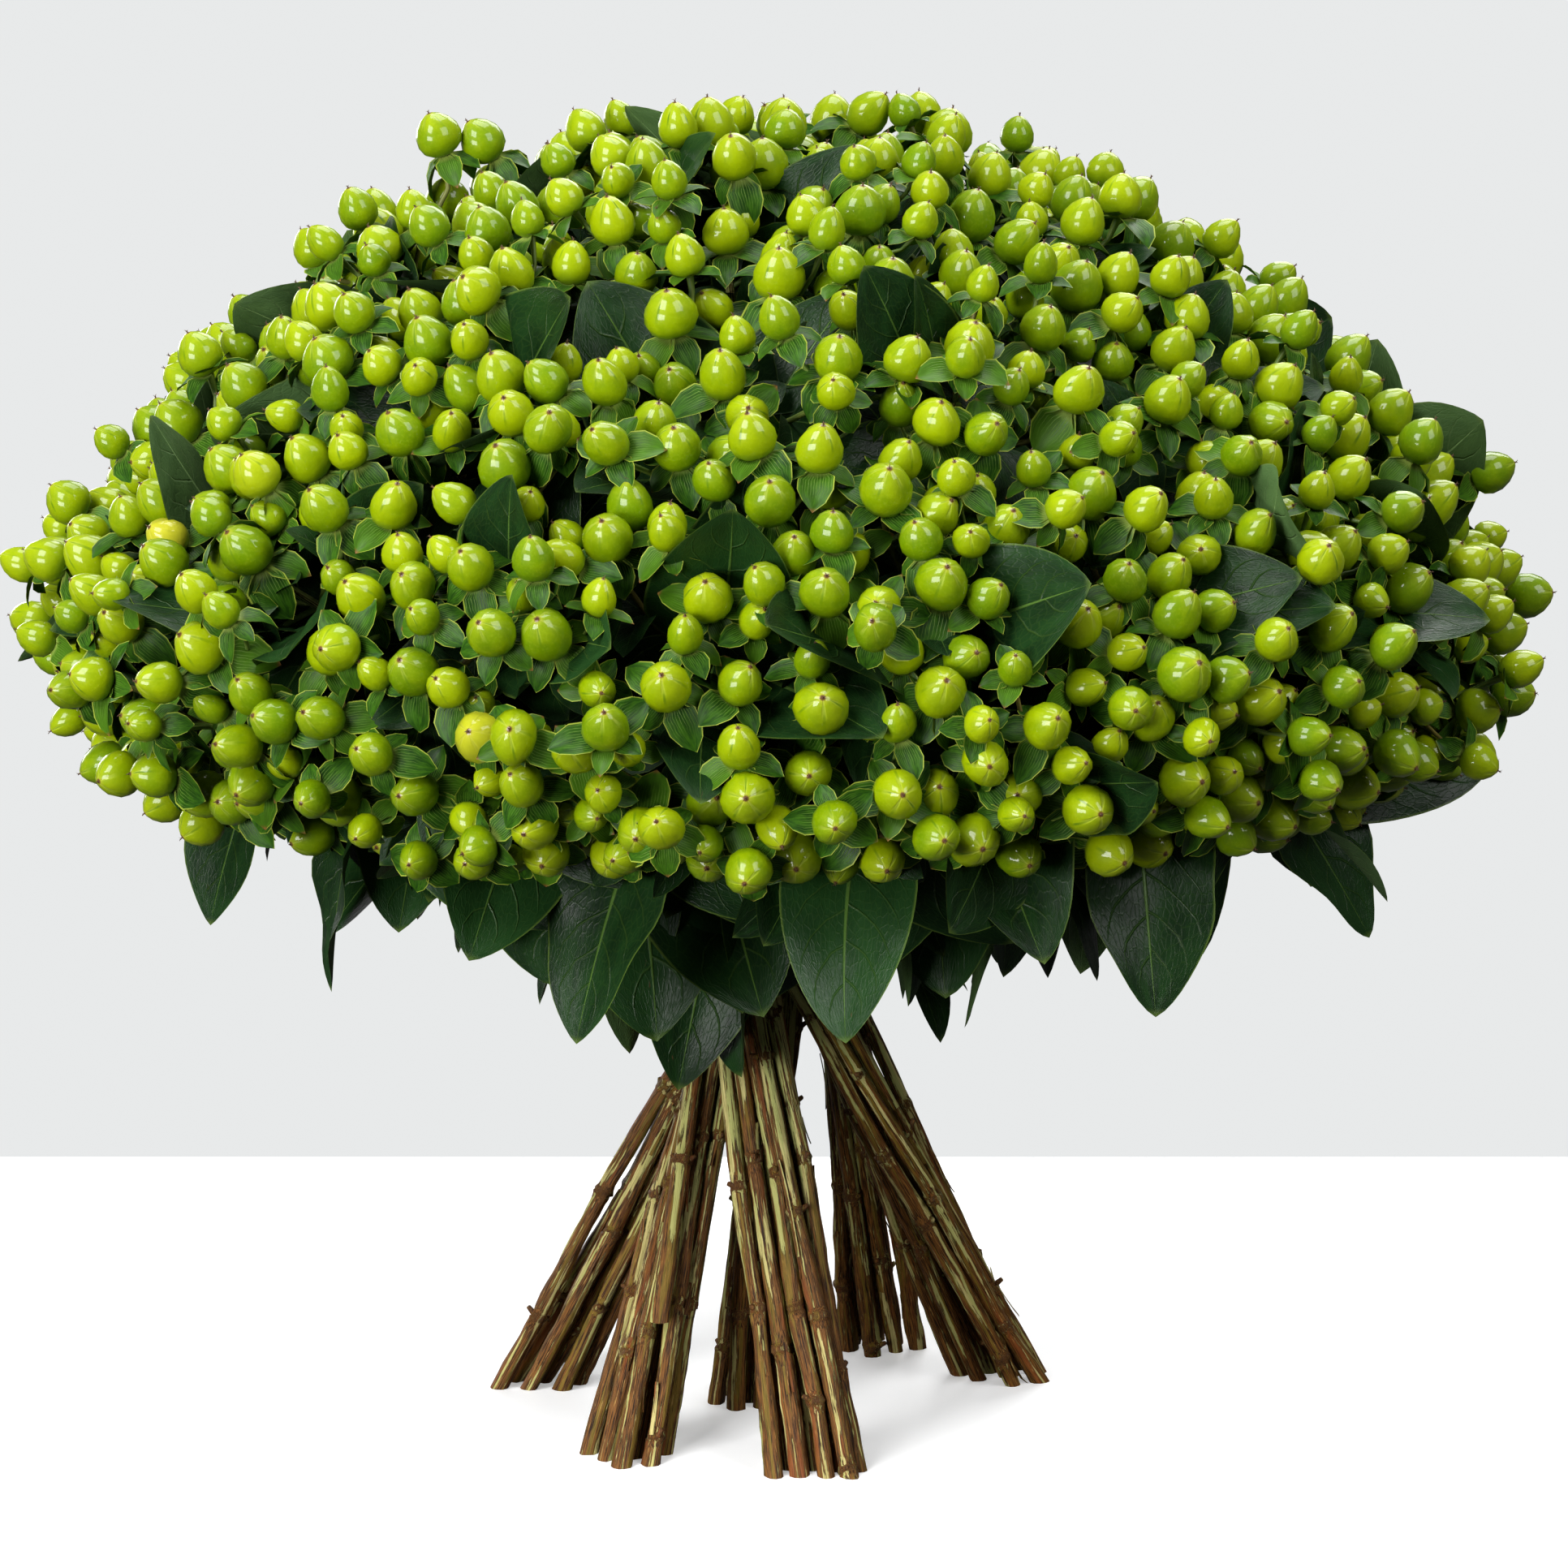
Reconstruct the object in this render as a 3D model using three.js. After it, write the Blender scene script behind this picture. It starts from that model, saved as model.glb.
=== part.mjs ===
// A hand-tied bunch of green-berried hypericum (St John's wort) that stands on its own splayed stems.
//
// Fifty-nine cut stems cross in a spiral at the tie. Below it they run straight down to their feet, and above
// it they arch outwards into a wide, dense dome. Every stem is one grown piece: a woody axis that ends in a
// berry, side stalks with a berry each, and large leaves, which hang below the dome on the outer stems. The tie
// is a few turns of twine round the crossing.
//
// Millimetres, +Z up, the table at z = 0. The bunch is laid out round its crossing, and then moved so that
// the origin is under the middle of its box.

import * as THREE from "three";

// ---- Driving dimensions ----

const TIE_Z = 134; // height of the crossing
const FAN_Z = 176; // height up to which the stems run straight
const STEM_RINGS = [1, 6, 12, 18, 22]; // stems in each ring of the crossing, from the middle out
const RING_PITCH = 4.8; // from ring to ring at the tie
const STEM_R = { foot: 2.5, fan: 2.0, tip: 1.3 };
const SIDES = { wood: 6, young: 4, berry: 5, stalk: 3 };
const CLEARANCE = 0.4; // between stems

// Where the outer stems stand: angle round the axis in degrees, and distance from it.
const FEET = [
  { angle: 25, reach: 78 },
  { angle: 63, reach: 68 },
  { angle: 160, reach: 78 },
  { angle: 232, reach: 73 },
  { angle: 279, reach: 71 },
];
const MIDDLE_FOOT = { x: -12, y: 2, pitch: 7 }; // the two inner rings stand here
const FOOT_PITCH = { along: 5.7, inward: 6.6 }; // between neighbours in a row, and between rows
const TWIST = 68; // how far the spiral turns between foot and tie, and again from tie to head, in degrees
const SHORT_STEMS = { every: 13, first: 9, lift: 38 }; // some stems were cut short, and hang above the table

// The dome that the berries' middles lie on.
const DOME = { z: 230, radius: 201, up: 136, down: 56, upPower: 1.62, downPower: 2.6 };
const RIM = { z: 181, rise: 15 }; // its lower edge, which rises in front and behind
const BERRY_LIFT = 0.3; // how far the berries turn up from straight outwards
const HEAD_DEPTH = 5; // how far a berry may stand above or below the dome
const SIDE_BERRIES = [22, 22, 34, 34]; // their first distances from the tip berry
const BERRY_SPACING = 31;

const BERRY = { radius: 6.3, length: 13.4, vary: 0.14 };
const STALK_R = 0.95;
const FORKS = { upper: 22, leafy: 29, lower: 38, height: 2.2 }; // where side stalks and leaves leave the axis
const LEAF = { length: 56, width: 32, thickness: 0.8, arch: 0.16, fold: 0.22 };

const TIE = { clearance: 0.6, twine: 0.9, turns: 4, sides: 20 };

const SEED = 6;
const COLOURS = { bark: 0x6b4a2b, berry: 0x8fae1c, leaf: 0x2c4a22, twine: 0xb29c6a };

// ---- Small tools ----

const vec = (x, y, z) => new THREE.Vector3(x, y, z);
const polar = (radius, degrees, z) => {
  const t = THREE.MathUtils.degToRad(degrees);
  return vec(radius * Math.cos(t), radius * Math.sin(t), z);
};

/** An angle in degrees brought to between -180 and 180. */
const wrapped = (angle) => ((((angle + 180) % 360) + 360) % 360) - 180;

/** A seeded random number generator, so that the bunch grows the same way each time. */
function seeded(seed) {
  let state = seed >>> 0;
  return () => {
    state = (state + 0x6d2b79f5) >>> 0;
    let t = Math.imul(state ^ (state >>> 15), state | 1);
    t = (t + Math.imul(t ^ (t >>> 7), t | 61)) ^ t;
    return ((t ^ (t >>> 14)) >>> 0) / 4294967296;
  };
}

/** The part of v that is square to n, at unit length. */
const squared = (v, n) => v.clone().addScaledVector(n, -v.dot(n)).normalize();

/** A ring of points round a centre, counter-clockwise about n, with its first point towards `first`. */
function ring(centre, n, radius, sides, first, turn = 0) {
  const a = squared(first, n);
  const b = n.clone().cross(a);
  return Array.from({ length: sides }, (_, i) => {
    const t = turn + (2 * Math.PI * i) / sides;
    return centre
      .clone()
      .addScaledVector(a, radius * Math.cos(t))
      .addScaledVector(b, radius * Math.sin(t));
  });
}

// ---- The dome ----

/** A point moved along its line from the dome's middle until it lies on the dome, offset outwards. */
function ontoDome(p, offset = 0) {
  const q = vec(p.x, p.y, p.z - DOME.z);
  const power = q.z >= 0 ? DOME.upPower : DOME.downPower;
  const flat = Math.hypot(q.x, q.y) / DOME.radius;
  const tall = Math.abs(q.z) / (q.z >= 0 ? DOME.up : DOME.down);
  const scale = (flat ** power + tall ** power) ** (-1 / power);
  q.multiplyScalar(scale + offset / q.length());
  return vec(q.x, q.y, q.z + DOME.z);
}

/** The dome's outward direction at a point on it. */
function domeNormal(p) {
  const z = p.z - DOME.z;
  const power = z >= 0 ? DOME.upPower : DOME.downPower;
  const height = z >= 0 ? DOME.up : DOME.down;
  const r = Math.max(Math.hypot(p.x, p.y), 1e-6);
  const out = (r / DOME.radius) ** (power - 1) / DOME.radius;
  const up = (Math.sign(z) * (Math.abs(z) / height) ** (power - 1)) / height;
  return vec((p.x / r) * out, (p.y / r) * out, up).normalize();
}

/** The dome's outline from its top to its rim in small steps, with the area above each. */
function domeOutline() {
  const steps = 400;
  const rows = [{ r: 0, z: DOME.z + DOME.up, area: 0 }];
  for (let i = 1; i < steps; i++) {
    const t = (i / steps) * Math.PI;
    const p = ontoDome(vec(Math.sin(t), 0, DOME.z + Math.cos(t)));
    const last = rows[rows.length - 1];
    const area = last.area + Math.PI * (p.x + last.r) * Math.hypot(p.x - last.r, p.z - last.z);
    if (p.z < RIM.z) break;
    rows.push({ r: p.x, z: p.z, area });
  }
  return rows;
}

/** Which way a berry faces: out of the dome, away from the crossing, and a little up. */
function facing(at) {
  const away = vec(at.x, at.y, at.z - TIE_Z).normalize();
  return domeNormal(at).add(away).add(vec(0, 0, BERRY_LIFT)).normalize();
}

// ---- The straight runs from foot to fan, through the tie ----

/** The outer clump of feet that an angle is nearest to, and how far it leans to one side of it. */
function nearestFoot(angle) {
  const leans = FEET.map((foot) => wrapped(angle - foot.angle));
  const clump = leans.reduce((best, lean, i) => (Math.abs(lean) < Math.abs(leans[best]) ? i : best), 0);
  return { clump, lean: leans[clump] };
}

/** The nearest points of two straight lines, as shares of their lengths, and the gap between them. */
function nearestPoints(a0, a1, b0, b1) {
  const u = a1.clone().sub(a0);
  const v = b1.clone().sub(b0);
  const w = a0.clone().sub(b0);
  const [uu, uv, vv, uw, vw] = [u.dot(u), u.dot(v), v.dot(v), u.dot(w), v.dot(w)];
  const clamp = (x) => Math.min(1, Math.max(0, x));
  const flat = uu * vv - uv * uv;
  let s = flat < 1e-9 ? 0.5 : clamp((uv * vw - vv * uw) / flat);
  const t = clamp((s * uv + vw) / vv);
  s = clamp((t * uv - uw) / uu);
  const gap = v.multiplyScalar(t).addScaledVector(u, -s).sub(w);
  return { s, t, gap };
}

/** Moves a run sideways at one of its points, sharing the move between its two ends. */
function shiftRun(stem, share, dx, dy) {
  const whole = (1 - share) * (1 - share) + share * share;
  stem.foot.x += (dx * (1 - share)) / whole;
  stem.foot.y += (dy * (1 - share)) / whole;
  stem.fan.x += (dx * share) / whole;
  stem.fan.y += (dy * share) / whole;
}

/** Where a run passes through a height. */
const runAt = (stem, z) => stem.foot.clone().lerp(stem.fan, z / FAN_Z);

/** Draws the runs together at the tie, and pushes them apart until none touches another. */
function settleRuns(stems) {
  const rounds = 120;
  const drawn = 80;
  const radius = (share) => STEM_R.foot + (STEM_R.fan - STEM_R.foot) * share;
  for (let round = 0; round < rounds; round++) {
    stems.forEach((stem) => {
      const { x, y } = runAt(stem, TIE_Z);
      if (round < drawn) shiftRun(stem, TIE_Z / FAN_Z, -0.01 * x, -0.01 * y);
    });
    for (let i = 0; i < stems.length; i++) {
      for (let j = i + 1; j < stems.length; j++) {
        const [a, b] = [stems[i], stems[j]];
        const { s, t, gap } = nearestPoints(a.foot, a.fan, b.foot, b.fan);
        const wide = gap.length();
        const short = radius(s) + radius(t) + CLEARANCE - wide;
        if (short <= 0) continue;
        const push = (0.5 * short) / wide;
        shiftRun(a, s, -push * gap.x, -push * gap.y);
        shiftRun(b, t, push * gap.x, push * gap.y);
      }
    }
  }
}

/** Foot and fan point of every stem, ring by ring. */
function layRuns(random) {
  const stems = [];
  STEM_RINGS.forEach((count, k) => {
    const members = Array.from({ length: count }, (_, j) => {
      const angle = (360 * (j + 0.5 * (k % 2) + 0.3 * (random() - 0.5))) / count;
      return { ring: k, angle, ...nearestFoot(angle + TWIST) };
    });
    members.forEach((stem) => {
      const row = members.filter((o) => o.clump === stem.clump).sort((a, b) => a.lean - b.lean);
      const aside = (row.indexOf(stem) - (row.length - 1) / 2) * FOOT_PITCH.along;
      const inward = (STEM_RINGS.length - 1 - k) * FOOT_PITCH.inward + 3 * (random() - 0.5);
      const { angle, reach } = FEET[stem.clump];
      stem.foot = polar(reach - inward, angle, 0).add(polar(aside, angle + 90, 0));
      if (k < 2) {
        stem.foot = polar(MIDDLE_FOOT.pitch * k, stem.angle + TWIST, 0);
        stem.foot.add(vec(MIDDLE_FOOT.x, MIDDLE_FOOT.y, 0));
      }
      stem.fan = stem.foot.clone().lerp(polar(RING_PITCH * k, stem.angle, TIE_Z), FAN_Z / TIE_Z);
    });
    stems.push(...members);
  });
  settleRuns(stems);
  stems.forEach((stem) => {
    stem.run = stem.fan.clone().sub(stem.foot).normalize();
  });
  return stems;
}

// ---- Heads and berries ----

/** The direction in which a stem leaves the fan, in degrees, near where the spiral would take it. */
function wayOut(stem) {
  const { x, y } = stem.fan.clone().addScaledVector(stem.run, 90);
  const turned = stem.angle - TWIST;
  return turned + wrapped(THREE.MathUtils.radToDeg(Math.atan2(y, x)) - turned);
}

/** Gives every stem its head on the dome, in the order in which the stems of its ring leave the fan. */
function placeHeads(stems, random) {
  const outline = domeOutline();
  const whole = outline[outline.length - 1].area;
  let before = 0;
  STEM_RINGS.forEach((count, k) => {
    const share = k === 0 ? 0 : (before + 0.5 * count) / stems.length;
    const row = outline.find((o) => o.area >= share * whole);
    const members = stems.filter((o) => o.ring === k).sort((a, b) => wayOut(a) - wayOut(b));
    members.forEach((stem, j) => {
      const angle = (360 * (j + 0.5 * (k % 2))) / count - TWIST;
      const turn = (random() - 0.5) * (120 / count);
      const rise = (random() - 0.5) * 14;
      stem.head = ontoDome(polar(row.r, angle + turn, row.z + rise));
    });
    before += count;
  });
}

/** Spreads the middles of all berries evenly over the dome. The first of each stem is its own tip. */
function spreadBerries(stems, random) {
  const berries = [];
  stems.forEach((stem) => {
    const n = domeNormal(stem.head);
    const a = squared(vec(0, 0.3, 1), n);
    const b = n.clone().cross(a);
    const turn = random() * 2 * Math.PI;
    stem.berries = [0, ...SIDE_BERRIES].map((out, m) => {
      const t = turn + m * Math.PI + (m < 3 ? 0 : Math.PI / 2);
      const at = stem.head
        .clone()
        .addScaledVector(a, out * Math.cos(t))
        .addScaledVector(b, out * Math.sin(t));
      const depth = (random() - 0.5) * 2 * HEAD_DEPTH;
      const size = 1 + (random() - 0.5) * BERRY.vary;
      return { at, depth, size };
    });
    berries.push(...stem.berries);
  });
  const rounds = 24;
  for (let round = 0; round < rounds; round++) {
    const moves = berries.map(() => vec(0, 0, 0));
    for (let i = 0; i < berries.length; i++) {
      for (let j = i + 1; j < berries.length; j++) {
        const away = berries[i].at.clone().sub(berries[j].at);
        const gap = away.length();
        if (gap >= BERRY_SPACING || gap < 1e-6) continue;
        away.multiplyScalar((0.3 * (BERRY_SPACING - gap)) / gap);
        moves[i].add(away);
        moves[j].sub(away);
      }
    }
    berries.forEach((berry, i) => {
      berry.at.add(moves[i]);
      const { x, y, z } = berry.at;
      berry.at.z = Math.max(z, RIM.z + (RIM.rise * y * y) / (x * x + y * y));
      berry.at.copy(ontoDome(berry.at, berry.depth));
    });
  }
  berries.forEach((berry) => {
    berry.facing = facing(berry.at);
    berry.neck = berry.at.clone().addScaledVector(berry.facing, -0.5 * BERRY.length * berry.size);
  });
}

// ---- The axis of a stem ----

/** The arched upper run of a stem: on from its straight run, then round to its tip. */
function upperRun(stem) {
  const tip = stem.berries[0];
  const reach = tip.neck.distanceTo(stem.fan);
  return new THREE.CubicBezierCurve3(
    stem.fan,
    stem.fan.clone().addScaledVector(stem.run, 0.34 * reach),
    tip.neck.clone().addScaledVector(tip.facing, -0.36 * reach),
    tip.neck,
  );
}

/** A fork: a short prism of the axis whose four sides are where stalks and leaves can grow from. */
function forkAt(stem, t) {
  return { at: stem.curve.getPoint(t), along: stem.curve.getTangent(t), share: t, grown: new Map() };
}

/** Moves a bent stem at one point between two of its bends. Its fan point and its lower fork stay. */
function shiftBend(path, k, share, gap, push) {
  const [before, after] = [k > 0 ? 1 - share : 0, k < path.length - 2 ? share : 0];
  const whole = Math.max(before * before + after * after, 0.2);
  path[k].addScaledVector(gap, (push * before) / whole);
  path[k + 1].addScaledVector(gap, (push * after) / whole);
}

/** Pushes the bends of the upper runs apart until no stem touches another. */
function settleBends(stems) {
  const rounds = 30;
  const need = 2 * STEM_R.fan + CLEARANCE;
  for (let round = 0; round < rounds; round++) {
    for (let i = 0; i < stems.length; i++) {
      for (let j = i + 1; j < stems.length; j++) {
        const [a, b] = [stems[i].path, stems[j].path];
        for (let k = 0; k < 3; k++) {
          for (let m = 0; m < 3; m++) {
            if (a[k].distanceTo(b[m]) > 120) continue;
            const { s, t, gap } = nearestPoints(a[k], a[k + 1], b[m], b[m + 1]);
            const wide = gap.length();
            if (wide >= need) continue;
            const push = (0.5 * (need - wide)) / wide;
            shiftBend(a, k, s, gap, -push);
            shiftBend(b, m, t, gap, push);
          }
        }
      }
    }
  }
}

/** Lays out the axis's cross-sections above the fan. */
function layAxis(stem, random) {
  stem.curve = upperRun(stem);
  const reach = stem.berries[0].neck.distanceTo(stem.fan);
  const [lower, leafy, upper] = [FORKS.lower, FORKS.leafy, FORKS.upper].map((below) =>
    forkAt(stem, 1 - below / (1.08 * reach)),
  );
  const outer = stem.ring === STEM_RINGS.length - 1;
  const skirt = forkAt(stem, 0.15 + 0.33 * random());
  stem.forks = outer ? { skirt, lower, leafy, upper } : { lower, leafy, upper };
  const bend = (t) => ({ at: stem.curve.getPoint(t), along: stem.curve.getTangent(t), share: t });
  const middle = outer ? [skirt, bend(0.5)] : [bend(0.25), bend(0.5)];
  stem.rows = [...middle, lower, leafy, upper, bend(1)];
  stem.path = [stem.fan, ...middle.map((row) => row.at), lower.at];
  stem.first = squared(polar(1, 360 * random(), 0), stem.run);
}

/** Turns the cross-sections of an axis, each carrying on the direction of the first corner below it. */
function turnAxis(stem) {
  let first = stem.first;
  stem.rows.forEach((row) => {
    first = squared(first, row.along);
    row.first = first;
    row.radius = STEM_R.fan + (STEM_R.tip - STEM_R.fan) * row.share;
    if (!row.grown) return;
    const half = 0.5 * FORKS.height;
    row.rings = [-half, half].map((d) =>
      ring(row.at.clone().addScaledVector(row.along, d), row.along, row.radius, SIDES.young, first),
    );
    row.sides = Array.from({ length: SIDES.young }, (_, i) => forkSide(row, i));
  });
}

/** One side of a fork: its four corners, counter-clockwise from outside, with its middle and direction. */
function forkSide(fork, i) {
  const [low, high] = fork.rings;
  const next = (i + 1) % SIDES.young;
  const out = low[i].clone().add(low[next]).addScaledVector(fork.at, -2);
  return {
    corners: [low[i], low[next], high[next], high[i]],
    middle: low[i].clone().add(high[next]).multiplyScalar(0.5),
    out: squared(out, fork.along),
  };
}

/** Gives the two nearer side berries to the upper fork and the others to the lower, each on its best side. */
function rootStalks(stem) {
  const [tip, ...others] = stem.berries;
  others.sort((a, b) => a.at.distanceTo(tip.at) - b.at.distanceTo(tip.at));
  const halves = [others.slice(0, 2), others.slice(2)];
  [stem.forks.upper, stem.forks.lower].forEach((fork, k) => {
    const [p, q] = halves[k];
    const suits = (berry, side) => berry.neck.clone().sub(side.middle).normalize().dot(side.out);
    let best = { worth: -9 };
    fork.sides.forEach((a, i) => {
      fork.sides.forEach((b, j) => {
        if (i === j) return;
        const worth = Math.min(suits(p, a), suits(q, b)) + 0.1 * (suits(p, a) + suits(q, b));
        if (worth > best.worth) best = { worth, i, j };
      });
    });
    fork.grown.set(best.i, { berry: p });
    fork.grown.set(best.j, { berry: q });
    p.root = fork.sides[best.i].middle;
    q.root = fork.sides[best.j].middle;
  });
}

// ---- Leaves ----

// A blade's sections: share of its length, and share of its full width there.
const BLADE = [
  [0.28, 0.96],
  [0.66, 0.84],
];

/** Share of a leaf's full width at s, straight between the sections. */
function bladeWidth(s) {
  const rows = [[0, 0.1], ...BLADE, [1, 0]];
  const i = rows.findIndex(([end]) => s <= end);
  if (i < 1) return rows[0][1];
  const [[s0, w0], [s1, w1]] = [rows[i - 1], rows[i]];
  return w0 + ((w1 - w0) * (s - s0)) / (s1 - s0);
}

/** A point of a leaf's middle surface: s runs from base to tip, v across it from -1 to 1. */
function leafPoint(leaf, s, v) {
  const half = 0.5 * leaf.width * bladeWidth(s) * v;
  const lift = LEAF.fold * Math.abs(half) - LEAF.arch * leaf.length * s * s;
  return leaf.base
    .clone()
    .addScaledVector(leaf.along, leaf.length * s)
    .addScaledVector(leaf.across, half)
    .addScaledVector(leaf.up, lift);
}

/** Points spread over a leaf, close enough together that nothing passes between them unseen. */
function leafSamples(leaf) {
  const points = [];
  for (let i = 1; i <= 16; i++) {
    for (let j = -4; j <= 4; j++) points.push(leafPoint(leaf, (i / 16) ** 1.25, j / 4));
  }
  return points;
}

/** How far a leaf keeps from all beads: -9 if it runs into one. Near its own root it needs less room. */
function roomRound(leaf, points, owner, beads) {
  const middle = points[76];
  const near = 16;
  let room = 9;
  for (const bead of beads) {
    if (middle.distanceToSquared(bead.at) > 60 * 60) continue;
    const out = bead.owner === owner ? leaf.base.distanceTo(bead.at) : near;
    if (bead.axis && out < near) continue;
    const ease = Math.max(1, near / out);
    const kept = bead.radius + (out < near ? 0.6 : 0);
    for (const p of points) room = Math.min(room, (p.distanceTo(bead.at) - kept) * ease);
    if (room < 0) return -9;
  }
  return room;
}

/** Draws a leaf from a free side of a fork, leaning away from the axis by an angle in degrees. */
function drawLeaf(fork, lean, size, random) {
  const free = [0, 1, 2, 3].filter((i) => [-1, 0, 1].every((step) => !fork.grown.has((i + step + 4) % 4)));
  const index = free[Math.floor(random() * free.length)];
  const side = fork.sides[index];
  const t = THREE.MathUtils.degToRad(lean);
  const along = side.out.clone().multiplyScalar(Math.sin(t)).addScaledVector(fork.along, Math.cos(t));
  along.applyAxisAngle(fork.along, (random() - 0.5) * 0.9);
  const up = squared(fork.along, along).applyAxisAngle(along, (random() - 0.5) * 0.9);
  const across = up.clone().cross(along);
  return { index, base: side.middle, along, across, up, length: LEAF.length * size, width: LEAF.width * size };
}

/** Draws a leaf that hangs outwards and down from the underside of a bare fork. */
function drawHangingLeaf(fork, size, random) {
  const outward = vec(fork.at.x, fork.at.y, 0).normalize();
  outward.applyAxisAngle(vec(0, 0, 1), (random() - 0.5) * 1.4);
  const along = outward.setZ(-0.5 - 1.3 * random()).normalize();
  const worth = fork.sides.map((side) => side.out.dot(along));
  const index = worth.indexOf(Math.max(...worth));
  const up = squared(vec(0, 0, 1).addScaledVector(fork.along, 0.6), along);
  up.applyAxisAngle(along, (random() - 0.5) * 0.5);
  const across = up.clone().cross(along);
  const base = fork.sides[index].middle;
  return { index, base, along, across, up, length: LEAF.length * size, width: LEAF.width * size };
}

/** Beads along every axis and stalk and in every berry, which the leaves keep clear of. */
function stringBeads(stems) {
  const beads = [];
  stems.forEach((stem, owner) => {
    const string = (from, to, radius, axis) => {
      const count = Math.ceil(from.distanceTo(to) / 3);
      for (let k = 0; k <= count; k++) {
        beads.push({ at: from.clone().lerp(to, k / count), radius, owner, axis });
      }
    };
    const path = [stem.foot, stem.fan, ...stem.rows.map((row) => row.at)];
    path.slice(1).forEach((at, k) => string(path[k], at, STEM_R.fan, true));
    stem.berries.forEach((berry) => {
      if (berry.root) string(berry.root, berry.neck, STALK_R, false);
      beads.push({ at: berry.at, radius: BERRY.radius, owner, axis: false });
    });
  });
  return beads;
}

/** Grows the large leaves, each the first of some draws that has room, or else the roomiest. */
function growLeaves(stems, random) {
  const beads = stringBeads(stems);
  const draws = 120;
  const enough = 3.6;
  const least = 2.4;
  stems.forEach((stem, owner) => {
    const { skirt, leafy } = stem.forks;
    const wanted = skirt ? [skirt, leafy, leafy] : [leafy, leafy];
    wanted.forEach((fork, n) => {
      const hangs = skirt && n < 2;
      let best = { room: least };
      for (let d = 0; d < draws && best.room < enough; d++) {
        const size = (hangs ? 1.2 : 1.1) - 0.3 * (d / draws) - 0.1 * random();
        const leaf = hangs
          ? drawHangingLeaf(fork, size, random)
          : drawLeaf(fork, 40 + 38 * random(), size, random);
        const points = leafSamples(leaf);
        const room = roomRound(leaf, points, owner, beads);
        if (room > best.room) best = { leaf, points, room };
      }
      if (!best.leaf) return;
      fork.grown.set(best.leaf.index, { leaf: best.leaf });
      best.points.forEach((at) => {
        beads.push({ at, radius: 0.5 * LEAF.thickness, owner, axis: false });
      });
    });
  });
}

/** Lays out the whole bunch: runs, heads, berries, axes, stalks and leaves. */
function growBunch() {
  const random = seeded(SEED);
  const stems = layRuns(random);
  placeHeads(stems, random);
  spreadBerries(stems, random);
  stems.forEach((stem) => layAxis(stem, random));
  settleBends(stems);
  stems.forEach((stem) => {
    turnAxis(stem);
    rootStalks(stem);
  });
  growLeaves(stems, random);
  return stems;
}

// ---- Skins ----

/** The triangles of one closed skin, each corner with its colour. */
class Skin {
  positions = [];
  colours = [];

  triangle(colour, ...corners) {
    const { r, g, b } = new THREE.Color(colour);
    corners.forEach((p) => {
      this.positions.push(p.x, p.y, p.z);
      this.colours.push(r, g, b);
    });
  }

  /** Joins two rings, which may differ in their number of points. A ring of one point is a tip. */
  band(colour, low, high) {
    const [m, n] = [low.length, high.length];
    let [i, j] = [0, 0];
    while (i < m || (n > 1 && j < n)) {
      if (n === 1 || (i < m && (i + 0.5) / m <= (j + 0.5) / n)) {
        this.triangle(colour, low[i], low[(i + 1) % m], high[j % n]);
        i++;
      } else {
        this.triangle(colour, low[i % m], high[(j + 1) % n], high[j]);
        j++;
      }
    }
  }

  cap(colour, points) {
    for (let i = 1; i + 1 < points.length; i++) this.triangle(colour, points[0], points[i + 1], points[i]);
  }

  geometry() {
    const geometry = new THREE.BufferGeometry();
    geometry.setAttribute("position", new THREE.Float32BufferAttribute(this.positions, 3));
    geometry.setAttribute("color", new THREE.Float32BufferAttribute(this.colours, 3));
    geometry.computeVertexNormals();
    return geometry;
  }
}

/** A berry from its neck's ring: widest below its middle, with a blunt point. */
function skinBerry(skin, berry, neck) {
  const long = BERRY.length * berry.size;
  const wide = BERRY.radius * berry.size;
  const first = neck[0].clone().sub(berry.neck);
  const at = (along) => berry.at.clone().addScaledVector(berry.facing, along * long);
  const belly = ring(at(-0.2), berry.facing, wide, SIDES.berry, first);
  const shoulder = ring(at(0.16), berry.facing, 0.9 * wide, SIDES.berry, first, Math.PI / SIDES.berry);
  skin.band(COLOURS.berry, neck, belly);
  skin.band(COLOURS.berry, belly, shoulder);
  skin.band(COLOURS.berry, shoulder, [at(0.5)]);
}

/** A stalk from one side of a fork to its berry. */
function skinStalk(skin, side, berry) {
  const neck = ring(berry.neck, berry.facing, STALK_R, SIDES.stalk, side.corners[0].clone().sub(side.middle));
  skin.band(COLOURS.berry, side.corners, neck);
  skinBerry(skin, berry, neck);
}

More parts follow.
